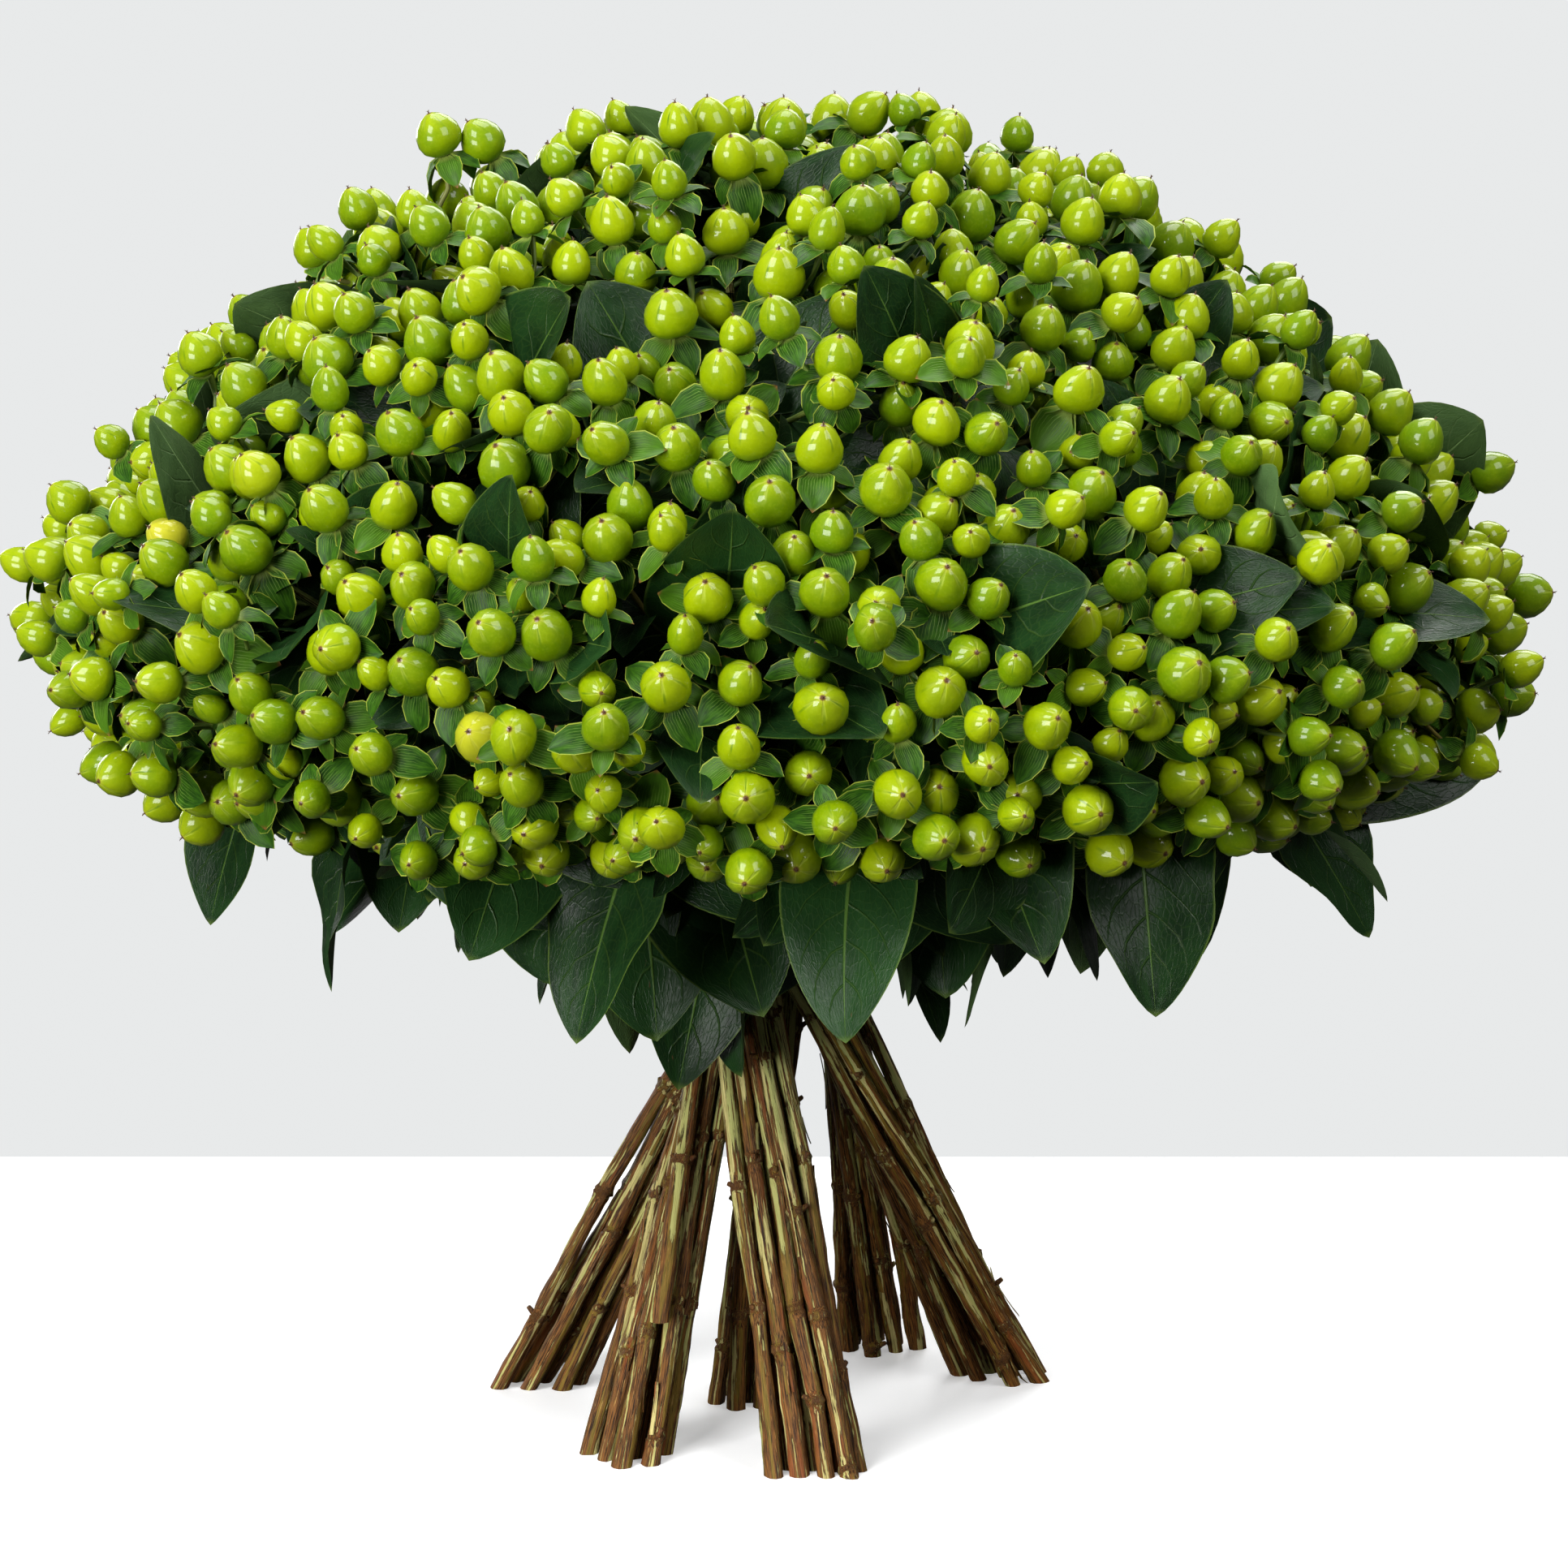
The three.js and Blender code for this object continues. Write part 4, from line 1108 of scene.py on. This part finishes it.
def pile_stem(pile, stem, tone):
    """One stem's wood, its cut end, its stubs and its loose bark. Its tone sets it apart from the others."""
    marks, line, radius, swell, nodes = axis_line(stem)
    way = unit(np.gradient(line, axis=0))
    first = np.empty_like(way)
    first[0] = squared(stem.first, way[0])
    for i in range(1, len(way)):
        first[i] = squared(first[i - 1], way[i])
    other = np.cross(way, first)
    rough = rng.normal(size=(len(marks), STEM_SIDES))
    rough = (rough + np.roll(rough, 1, 0) + np.roll(rough, -1, 0)) / 3
    age = smooth((135 - line[:, 2] + 60 * (tone - 0.5)) / 110)
    full = radius * (1 + 0.09 * swell)
    full = full[:, None] * (1 + rough * (0.04 + 0.09 * age + 0.14 * swell)[:, None])
    angle = circle(STEM_SIDES)
    points = line[:, None] + around(first, other, angle) * full[..., None]
    level = points[0]
    level += way[0] * ((stem.lift - level[:, 2:3]) / way[0][2])
    out = 2 * (1 + swell[:, None])
    each = marks_of(np.cos(angle) * out, np.sin(angle) * out, marks[:, None] + 700 * tone, age[:, None])
    pile.add_grids(points[None], each[None], closed=True)
    cap = np.concatenate([level, level.mean(0)[None]])
    cut = marks_of(np.append(np.cos(angle), 0), np.append(np.sin(angle), 0), 0, tone)
    pile.add(cap[None], fan_quads(0, STEM_SIDES, STEM_SIDES, flip=True), cut[None], 1)
    add_stubs(pile, marks, line, way, first, other, full, nodes, tone)
    add_flakes(pile, marks, line, way, first, other, full, age)


def add_stubs(pile, marks, line, way, first, other, full, nodes, tone):
    """Short stubs where leaves and side shoots were stripped from the nodes."""
    for node in nodes:
        i = int(np.searchsorted(marks, node))
        if i >= len(marks) or line[i][2] > 190:
            continue
        turn = scatter(0, math.tau)
        for half in (0, math.pi)[: rng.integers(1, 3)]:
            out = first[i] * math.cos(turn + half) + other[i] * math.sin(turn + half)
            tilt = unit(out + way[i] * scatter(0.3, 1.1))
            ring = around(*frames_of(tilt, (0.3, 0.5, -0.2)), circle(5))
            root = line[i] + out * (full[i].mean() - 0.5)
            long = scatter(0.8, 2.8)
            rings = [root + ring * 0.95, root + tilt * long + ring * 0.7, (root + tilt * (long + 0.1))[None]]
            points = np.concatenate(rings)
            points[:, 2] = np.maximum(points[:, 2], line[0][2])
            pile.add(points[None], STUB_QUADS, marks_of(*(points * 0.8 + 50 * tone).T, 0.9)[None])


def add_flakes(pile, marks, line, way, first, other, full, age):
    """Strips of bark that have come loose along one side and curl away."""
    for _ in range(FLAKES):
        i = int(rng.integers(4, max(5, np.searchsorted(marks, 165))))
        if age[i] < 0.3 * rng.random():
            continue
        turn = scatter(0, math.tau)
        long, wide = scatter(5, 15), scatter(0.35, 0.75)
        bend = scatter(0.3, 1.3)
        s = np.linspace(0, 1, 5)[:, None]
        theta = turn + wide * np.linspace(-0.5, 0.5, 3)[None] * (1 - 0.5 * s)
        out = first[i] * np.cos(theta)[..., None] + other[i] * np.sin(theta)[..., None]
        flip = rng.choice([-1, 1])
        lift = full[i].mean() + 0.1 + bend * s**2
        points = line[i] + way[i] * (flip * long * s)[..., None] + out * lift[..., None]
        points[..., 2] = np.maximum(points[..., 2], line[0][2])
        each = marks_of(2 * np.cos(theta), 2 * np.sin(theta), marks[i] + long * s, 0.95)
        pile.add_grids(points[None], each[None])


def pile_twine(pile, radius):
    """Turns of two-ply twine, side by side round the crossing."""
    steps, sides = 150, 10
    turn = math.tau * np.arange(steps + 1) / steps
    angle = circle(sides)
    for k in range(TWINE_TURNS):
        z = TIE_Z + (2 * k + 1 - TWINE_TURNS) * TWINE_R
        out = np.stack([np.cos(turn), np.sin(turn), 0 * turn], -1)
        ply = angle[None] - 44 * turn[:, None] - k
        r = TWINE_R * (0.8 + 0.2 * abs(np.cos(ply)))
        wobble = 0.12 * np.sin(7 * turn + 2 * k)
        points = (
            out[:, None] * (radius + wobble[:, None] + r * np.cos(angle))[..., None]
            + vec(0, 0, 1) * (z + r * np.sin(angle))[..., None]
        )
        pile.add_grids(points[None], marks_of(turn[:, None] * radius, ply, 0, 0.5)[None], closed=True)


# ---- Materials ----


class Nodes:
    """Builds one material's nodes. Every function gives the output socket that the next one takes."""

    def __init__(self, name):
        self.material = bpy.data.materials.new(name)
        self.material.use_nodes = True
        self.tree = self.material.node_tree
        self.tree.nodes.clear()

    def add(self, kind, inputs=None, **settings):
        node = self.tree.nodes.new("ShaderNode" + kind)
        for key, value in settings.items():
            setattr(node, key, value)
        for key, value in (inputs or {}).items():
            if isinstance(value, bpy.types.NodeSocket):
                self.tree.links.new(value, node.inputs[key])
            else:
                node.inputs[key].default_value = value
        return node

    def maths(self, operation, *values):
        return self.add("Math", dict(enumerate(values)), operation=operation).outputs[0]

    def times(self, *values):
        return functools.reduce(lambda a, b: self.maths("MULTIPLY", a, b), values)

    def plus(self, *values):
        return functools.reduce(lambda a, b: self.maths("ADD", a, b), values)

    def minus(self, a, b):
        return self.maths("SUBTRACT", a, b)

    def length(self, x, y):
        return self.maths("SQRT", self.plus(self.times(x, x), self.times(y, y)))

    def tint(self, colour, where, strength, other):
        """Takes a colour part of the way to another, where a value is high."""
        return self.mix(self.times(where, strength), colour, other)

    def mix(self, share, a, b):
        colour = lambda c: c if isinstance(c, bpy.types.NodeSocket) else (*c, 1)
        return self.add("Mix", {0: share, 6: colour(a), 7: colour(b)}, data_type="RGBA").outputs[2]

    def step(self, value, low, high):
        """0 below low and 1 above high, with a smooth rise between them."""
        sockets = {0: value, 1: low, 2: high, 3: 0.0, 4: 1.0}
        return self.add("MapRange", sockets, interpolation_type="SMOOTHSTEP").outputs[0]

    def noise(self, vector, scale, detail=2.0, roughness=0.5):
        inputs = {"Vector": vector, "Scale": scale, "Detail": detail, "Roughness": roughness}
        return self.add("TexNoise", inputs).outputs[0]

    def attribute(self, name, output):
        return self.add("Attribute", attribute_name=name).outputs[output]

    def place(self):
        """A form's own coordinates: as one vector and as three numbers."""
        vector = self.attribute("place", "Vector")
        return vector, *self.add("SeparateXYZ", {0: vector}).outputs

    def stretched(self, vector, by, tone=None, apart=40.0):
        moved = self.add("VectorMath", {0: vector, 1: by}, operation="MULTIPLY").outputs[0]
        if tone is None:
            return moved
        away = self.times(tone, apart)
        return self.add("VectorMath", {0: moved, 1: away}, operation="ADD").outputs[0]

    def finish(self, colour, height=None, strength=0.3, distance=0.0002, **settings):
        inputs = {"Base Color": colour}
        if height is not None:
            bump = self.add("Bump", {"Height": height, "Strength": strength, "Distance": distance})
            inputs["Normal"] = bump.outputs[0]
        for key, value in settings.items():
            inputs[key.replace("_", " ")] = value
        shader = self.add("BsdfPrincipled", inputs)
        out = self.add("OutputMaterial", {"Surface": shader.outputs[0]})
        out.is_active_output = True
        return self.material


def berry_skin():
    """Waxy green skin, palest at the crown, with five grooves darkened by painted shade, a darker base that is
    partly its own greener colour and partly painted shade, dark dots and a brown tip.
    """
    n = Nodes("berry_skin")
    place, x, y, z = n.place()
    tone = n.attribute("tone", "Fac")
    own = n.stretched(place, (1, 1, 1), tone)
    cloud, mottle = n.noise(own, 1.4, 2), n.noise(own, 9.0, 3)
    hue = n.plus(n.times(tone, 0.6), n.times(cloud, 0.6))
    colour = n.mix(n.step(hue, 0.15, 1.0), (0.100, 0.190, 0.0), (0.258, 0.338, 0.0))
    colour = n.tint(colour, n.step(mottle, 0.45, 0.75), 0.12, (0.38, 0.46, 0.03))
    colour = n.tint(colour, n.step(z, 0.3, 1.0), 0.14, (0.38, 0.44, 0.02))
    grooves = n.maths("ABSOLUTE", n.maths("COSINE", n.times(n.maths("ARCTAN2", y, x), 2.5)))
    crown = n.step(z, 0.5, 0.9)
    rays = n.times(n.step(grooves, 0.88, 1.0), crown)
    colour = n.tint(colour, rays, 0.25, (0.52, 0.56, 0.10))
    # Painted shade: dark green lines down the grooves, from the berry's middle towards its crown.
    painted_groove_shade = n.times(n.step(grooves, 0.975, 1.0), n.step(z, 0.0, 0.5))
    colour = n.tint(colour, painted_groove_shade, n.step(cloud, 0.3, 0.8), (0.085, 0.170, 0.003))
    # Darker and greener towards the neck: partly the berry's own greener base, partly painted shade on its
    # underside.
    colour = n.tint(colour, n.step(z, 0.1, -1.0), 0.6, (0.085, 0.170, 0.004))
    colour = n.tint(colour, n.step(n.noise(own, 26.0, 1), 0.72, 0.78), 0.35, (0.09, 0.10, 0.015))
    colour = n.tint(colour, n.step(tone, 0.996, 1.0), 0.6, (0.50, 0.43, 0.03))
    out = n.length(x, y)
    colour = n.tint(colour, n.times(n.step(out, 0.34, 0.08), crown), 0.35, (0.46, 0.42, 0.05))
    colour = n.mix(n.times(n.step(out, 0.16, 0.07), crown), colour, (0.12, 0.055, 0.014))
    height = n.minus(n.times(mottle, 0.14), n.times(rays, 0.9))
    height = n.plus(height, n.times(cloud, 1.6))
    gloss = {"Roughness": 0.42, "Coat_Weight": 0.5, "Coat_Roughness": 0.07, "Specular_IOR_Level": 0.08}
    return n.finish(colour, height, 0.4, 0.0004, **gloss)


def style_skin():
    n = Nodes("style_dry")
    place = n.attribute("place", "Vector")
    colour = n.mix(n.noise(place, 2.0, 3), (0.03, 0.014, 0.006), (0.13, 0.06, 0.02))
    return n.finish(colour, Roughness=0.75)


def sepal_skin():
    """Soft green with pale veins from its foot and a pale edge, and at times a burnt tip."""
    n = Nodes("sepal_green")
    place, s, v, seed = n.place()
    aside = n.maths("ABSOLUTE", v)
    cloud = n.noise(n.stretched(place, (2, 2, 60)), 2.0, 3)
    colour = n.mix(n.step(cloud, 0.3, 0.7), (0.010, 0.040, 0.003), (0.030, 0.095, 0.005))
    colour = n.tint(colour, n.step(seed, 0.5, 1.0), 0.5, (0.068, 0.160, 0.006))
    wave = n.plus(n.times(v, 3.2), n.times(cloud, 0.5))
    wave = n.maths("ABSOLUTE", n.minus(n.maths("PINGPONG", wave, 0.5), 0.25))
    veins = n.times(n.step(wave, 0.17, 0.25), n.step(s, 0.85, 0.15))
    colour = n.tint(colour, veins, 0.6, (0.20, 0.33, 0.06))
    colour = n.tint(colour, n.step(s, 0.26, 0.02), 0.75, (0.33, 0.42, 0.08))
    edge = n.step(n.maths("MAXIMUM", aside, n.plus(s, -0.045)), 0.90, 0.975)
    colour = n.tint(colour, edge, 0.75, (0.34, 0.40, 0.05))
    colour = n.tint(colour, n.step(s, 0.88, 1.0), n.step(seed, 0.55, 0.75), (0.16, 0.06, 0.02))
    height = n.plus(n.times(veins, -0.6), n.times(cloud, 0.4))
    return n.finish(colour, height, 0.4, 0.0003, Roughness=0.40, Specular_IOR_Level=0.12)


def leaf_skin(name, blade, deep, vein, edge, roughness, relief):
    """A blade with a midrib, arching side veins that loop near its edge, and a fine net between them."""
    n = Nodes(name)
    place, s, v, seed = n.place()
    aside = n.maths("ABSOLUTE", v)
    cloud = n.noise(n.stretched(place, (3.0, 1.6, 90)), 1.6, 3)
    colour = n.mix(n.step(cloud, 0.25, 0.75), deep, blade)
    colour = n.tint(colour, n.step(seed, 0.6, 1.0), 0.35, tuple(1.9 * c for c in blade))
    bow = n.plus(n.times(aside, 0.20), n.times(n.maths("POWER", aside, 3.0), 0.16))
    lag = n.times(n.maths("SIGN", v), 0.012)
    along = n.plus(n.minus(s, bow), n.plus(lag, n.times(cloud, 0.03)))
    phase = n.maths("PINGPONG", n.times(along, 6.5), 0.5)
    side = n.times(n.step(phase, 0.055, 0.0), n.step(aside, 0.93, 0.6), n.step(s, 0.98, 0.8))
    slim = n.plus(0.012, n.times(n.minus(1.0, s), 0.028))
    midrib = n.step(n.maths("DIVIDE", aside, slim), 1.3, 0.5)
    cells = {"Vector": n.stretched(place, (22, 12, 0), seed), "Scale": 1.0}
    net = n.add("TexVoronoi", cells, feature="DISTANCE_TO_EDGE", voronoi_dimensions="2D")
    net = n.step(net.outputs[0], 0.14, 0.0)
    colour = n.tint(colour, net, 0.12, vein)
    colour = n.tint(colour, side, 0.4, vein)
    colour = n.tint(colour, midrib, 0.85, tuple(1.5 * c for c in vein))
    rim = n.step(n.maths("MAXIMUM", aside, n.minus(s, 0.01)), 0.955, 0.99)
    colour = n.tint(colour, rim, 0.45, edge)
    scars = n.step(n.noise(n.stretched(place, (5, 3, 70)), 2.2, 4), 0.74, 0.78)
    colour = n.tint(colour, scars, 0.7, (0.09, 0.045, 0.02))
    fine = n.noise(n.stretched(place, (40, 24, 50)), 1.0, 2)
    ribs = n.times(n.maths("MAXIMUM", side, midrib), relief)
    height = n.plus(ribs, n.times(fine, 0.25), n.times(net, 0.12 * relief), n.times(cloud, 0.8))
    return n.finish(colour, height, 0.6, 0.0006, Roughness=roughness, Specular_IOR_Level=0.15)


def stalk_skin():
    n = Nodes("stalk_green")
    place = n.attribute("place", "Vector")
    tone = n.attribute("tone", "Fac")
    cloud = n.noise(n.stretched(place, (1, 1, 2), tone), 1.5, 2)
    colour = n.mix(n.step(cloud, 0.3, 0.7), (0.085, 0.165, 0.02), (0.17, 0.23, 0.035))
    colour = n.tint(colour, n.step(tone, 0.75, 1.0), 0.6, (0.2, 0.09, 0.03))
    return n.finish(colour, cloud, 0.2, 0.0002, Roughness=0.5)


def bark_skin():
    """Pale wood under brown bark that peels in long ragged strips, thicker towards the foot."""
    n = Nodes("bark_peeling")
    place, x, y, _ = n.place()
    age = n.attribute("tone", "Fac")
    node = n.step(n.length(x, y), 2.5, 3.2)
    strips = n.noise(n.stretched(place, (0.75, 0.75, 0.026)), 1.0, 2, 0.5)
    ragged = n.noise(n.stretched(place, (2.6, 2.6, 0.16)), 1.0, 4, 0.65)
    grain = n.noise(n.stretched(place, (5.0, 5.0, 0.15)), 1.0, 3, 0.6)
    tint = n.noise(n.stretched(place, (0.5, 0.5, 0.018)), 1.0, 2)
    cover = n.plus(n.times(strips, 0.72), n.times(ragged, 0.28), n.times(age, 0.085), n.times(node, 0.03))
    bark = n.step(cover, 0.515, 0.525)
    # Painted shade: a dark band on the wood along the foot of the raised bark's edge.
    painted_lip_shade = n.times(n.step(cover, 0.499, 0.515), n.minus(1.0, bark))
    wood = n.mix(n.step(grain, 0.3, 0.7), (0.38, 0.33, 0.10), (0.80, 0.71, 0.30))
    wood = n.tint(wood, n.step(tint, 0.44, 0.56), 0.75, (0.42, 0.46, 0.14))
    wood = n.tint(wood, age, 0.3, (0.30, 0.21, 0.06))
    brown = n.mix(n.step(grain, 0.36, 0.66), (0.016, 0.006, 0.002), (0.240, 0.098, 0.020))
    olive = n.step(n.noise(n.stretched(place, (0.7, 0.7, 0.025)), 1.0, 2), 0.55, 0.63)
    brown = n.tint(brown, olive, 0.55, (0.23, 0.165, 0.020))
    brown = n.tint(brown, n.step(tint, 0.42, 0.32), 0.6, (0.25, 0.062, 0.014))
    brown = n.tint(brown, n.step(ragged, 0.60, 0.70), 0.75, (0.47, 0.28, 0.08))
    colour = n.mix(bark, wood, brown)
    # The painted shade along the bark's edge.
    colour = n.tint(colour, painted_lip_shade, 0.8, (0.040, 0.017, 0.007))
    # The darkest grain: a little darker on the wood, which is its grain, and near black in the bark's cracks,
    # which is painted shade there.
    grain_and_crack_shade = n.plus(0.12, n.times(bark, 0.6))
    colour = n.tint(colour, n.step(grain, 0.40, 0.30), grain_and_crack_shade, (0.012, 0.006, 0.003))
    colour = n.tint(colour, n.times(node, n.step(ragged, 0.6, 0.4)), 0.7, (0.07, 0.03, 0.012))
    height = n.plus(n.times(bark, 0.9), n.times(grain, 0.7))
    return n.finish(colour, height, 0.9, 0.0006, Roughness=0.5, Specular_IOR_Level=0.2)


def cut_skin():
    n = Nodes("wood_cut")
    place, x, y, _ = n.place()
    out = n.length(x, y)
    ring = n.noise(n.stretched(place, (6, 6, 1)), 1.0, 3)
    colour = n.mix(ring, (0.30, 0.22, 0.10), (0.52, 0.43, 0.24))
    colour = n.mix(n.step(out, 0.28, 0.14), colour, (0.12, 0.07, 0.03))
    colour = n.mix(n.step(out, 0.86, 0.94), colour, (0.06, 0.03, 0.012))
    return n.finish(colour, ring, 0.4, 0.0003, Roughness=0.85)


def twine_skin():
    n = Nodes("twine_jute")
    place = n.attribute("place", "Vector")
    fibres = n.noise(n.stretched(place, (3.0, 1.2, 1)), 3.0, 4, 0.7)
    colour = n.mix(n.step(fibres, 0.3, 0.7), (0.30, 0.20, 0.085), (0.56, 0.43, 0.22))
    return n.finish(colour, fibres, 0.7, 0.0004, Roughness=0.9)


def floor_skin():
    n = Nodes("floor_pale")
    where = n.add("NewGeometry").outputs[0]
    cloud = n.noise(where, 3.0, 4)
    colour = n.mix(cloud, (0.80, 0.805, 0.81), (0.86, 0.86, 0.86))
    return n.finish(colour, Roughness=0.5, Emission_Color=(1, 1, 1, 1), Emission_Strength=0.35)


# ---- The bunch ----

stems, leaves, beads = grow_bunch()
low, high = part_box("tie")
OFFSET = np.array([low.x + high.x, low.y + high.y, 0]) * 500

peeping = peeping_leaves(stems, beads)
hanging = hanging_leaves(stems, beads)
fruit = fill_heads(first_fruit(stems), beads)
inner = inner_pairs(stems, beads)
bracts = bract_pairs(fruit, beads)

bark, cut, twine = bark_skin(), cut_skin(), twine_skin()
berry, style, sepal, stalk = berry_skin(), style_skin(), sepal_skin(), stalk_skin()
dark_green = (0.009, 0.034, 0.007), (0.004, 0.015, 0.004), (0.045, 0.090, 0.015), (0.13, 0.20, 0.03)
pale_green = (0.060, 0.115, 0.035), (0.038, 0.078, 0.024), (0.12, 0.19, 0.07), (0.14, 0.20, 0.04)
face = leaf_skin("leaf_face", *dark_green, roughness=0.36, relief=-0.8)
under = leaf_skin("leaf_underside", *pale_green, roughness=0.6, relief=0.8)

# The pieces are made sector by sector, by the place of each stem's head.
turns = [math.degrees(math.atan2(stem.head[1], stem.head[0])) % 360 for stem in stems]
sector_of = [int(turn // (360 / SECTORS)) for turn in turns]


def in_sector(things, k):
    return [o for o in things if sector_of[o.owner] == k]


for k in range(SECTORS):
    woods = Pile()
    names = []
    for i, stem in enumerate(stems):
        if sector_of[i] == k:
            pile_stem(woods, stem, scatter(0, 1))
            names.append(f"leafy_stem_{i + 1:02d}")
    woods.finish(f"stems_{k + 1}", [bark, cut], "stem", names)

    berries, styles, sepals, stalks = Pile(), Pile(), Pile(), Pile()
    some = in_sector(fruit, k)
    tip, way, size, a, b = pile_berries(berries, some)
    pile_styles(styles, tip, way, size, a, b)
    pile_sepals(sepals, some, a, b)
    pile_stalks(stalks, some)
    berries.finish(f"berries_{k + 1}", [berry], "berry")
    styles.finish(f"styles_{k + 1}", [style], "stalk")
    sepals.finish(f"sepals_{k + 1}", [sepal], "sepal")
    stalks.finish(f"stalks_{k + 1}", [stalk], "stalk")

    blades = Pile()
    pile_leaves(blades, in_sector(leaves + hanging + peeping, k), 18, 7, BLADE_THICK)
    pile_leaves(blades, in_sector(inner, k), 9, 5)
    pile_leaves(blades, in_sector(bracts, k), 7, 5, wave=0.03)
    blades.finish(f"leaves_{k + 1}", [face, under], "leaf")

coils = Pile()
pile_twine(coils, 500 * (high.x - low.x) - TWINE_R)
coils.finish("twine", [twine], "twine", ["tie"])

# ---- Floor, light and camera ----

# The floor's far edge is where the camera sees the photograph's horizon.
FLOOR_REACH, FLOOR_BACK = 2, 0.278
corners = [(-FLOOR_REACH, -FLOOR_REACH, 0), (FLOOR_REACH, -FLOOR_REACH, 0)]
corners += [(FLOOR_REACH, FLOOR_BACK, 0), (-FLOOR_REACH, FLOOR_BACK, 0)]
floor = bpy.data.meshes.new("floor")
floor.from_pydata(corners, [], [(0, 1, 2, 3)])
floor.materials.append(floor_skin())
table = bpy.data.objects.new("floor", floor)
bpy.context.scene.collection.objects.link(table)
table.visible_diffuse = table.visible_glossy = False


def area_light(name, place, aim, width, height, power):
    data = bpy.data.lights.new(name, "AREA")
    data.shape, data.size, data.size_y, data.energy = "RECTANGLE", width, height, power
    light = bpy.data.objects.new(name, data)
    light.location = place
    light.rotation_euler = (Vector(aim) - Vector(place)).to_track_quat("-Z", "Y").to_euler()
    light.visible_camera = False
    bpy.context.scene.collection.objects.link(light)


# Each light's place, the height that it aims at, its width and height, and its power.
LIGHTS = {
    "key": ((-1.05, -1.30, 1.55), 0.22, 1.0, 1.0, 46),
    "fill": ((1.25, -1.05, 1.35), 0.22, 0.9, 1.1, 22),
    "top": ((0.1, 0.35, 1.9), 0.25, 1.2, 1.0, 29),
    "low": ((-1.0, -1.3, 0.32), 0.07, 0.9, 0.5, 24),
    "back": ((0.5, 1.5, 1.4), 0.20, 1.2, 1.0, 22),
    "back_low": ((-0.9, 1.5, 0.45), 0.07, 0.9, 0.5, 10),
}
for name, (where, aim_z, width, height, power) in LIGHTS.items():
    area_light(name, where, (0, 0, aim_z), width, height, power)

world = bpy.data.worlds.new("studio")
world.use_nodes = True
sky = world.node_tree
sky.nodes.clear()
path = sky.nodes.new("ShaderNodeLightPath")
seen, lit, either = (sky.nodes.new(kind) for kind in ("ShaderNodeBackground",) * 2 + ("ShaderNodeMixShader",))
seen.inputs[0].default_value = (0.807, 0.820, 0.822, 1)
lit.inputs[0].default_value = (1.0, 1.0, 1.0, 1)
lit.inputs[1].default_value = 0.065
sky.links.new(path.outputs["Is Camera Ray"], either.inputs[0])
sky.links.new(lit.outputs[0], either.inputs[1])
sky.links.new(seen.outputs[0], either.inputs[2])
sky.links.new(either.outputs[0], sky.nodes.new("ShaderNodeOutputWorld").inputs[0])
bpy.context.scene.world = world
bpy.context.scene.view_settings.view_transform = "Standard"

CAMERA_AWAY, CAMERA_TILT, FRAME_WIDTH = 1.7, math.radians(11), 0.4400
lens = bpy.data.cameras.new("camera")
lens.lens = 36 * CAMERA_AWAY / FRAME_WIDTH
camera = bpy.data.objects.new("camera", lens)
aim = Vector((0.001, 0, 0.180))
camera.location = aim + CAMERA_AWAY * Vector((0, -math.cos(CAMERA_TILT), math.sin(CAMERA_TILT)))
camera.rotation_euler = (aim - camera.location).to_track_quat("-Z", "Y").to_euler()
bpy.context.scene.collection.objects.link(camera)
bpy.context.scene.camera = camera
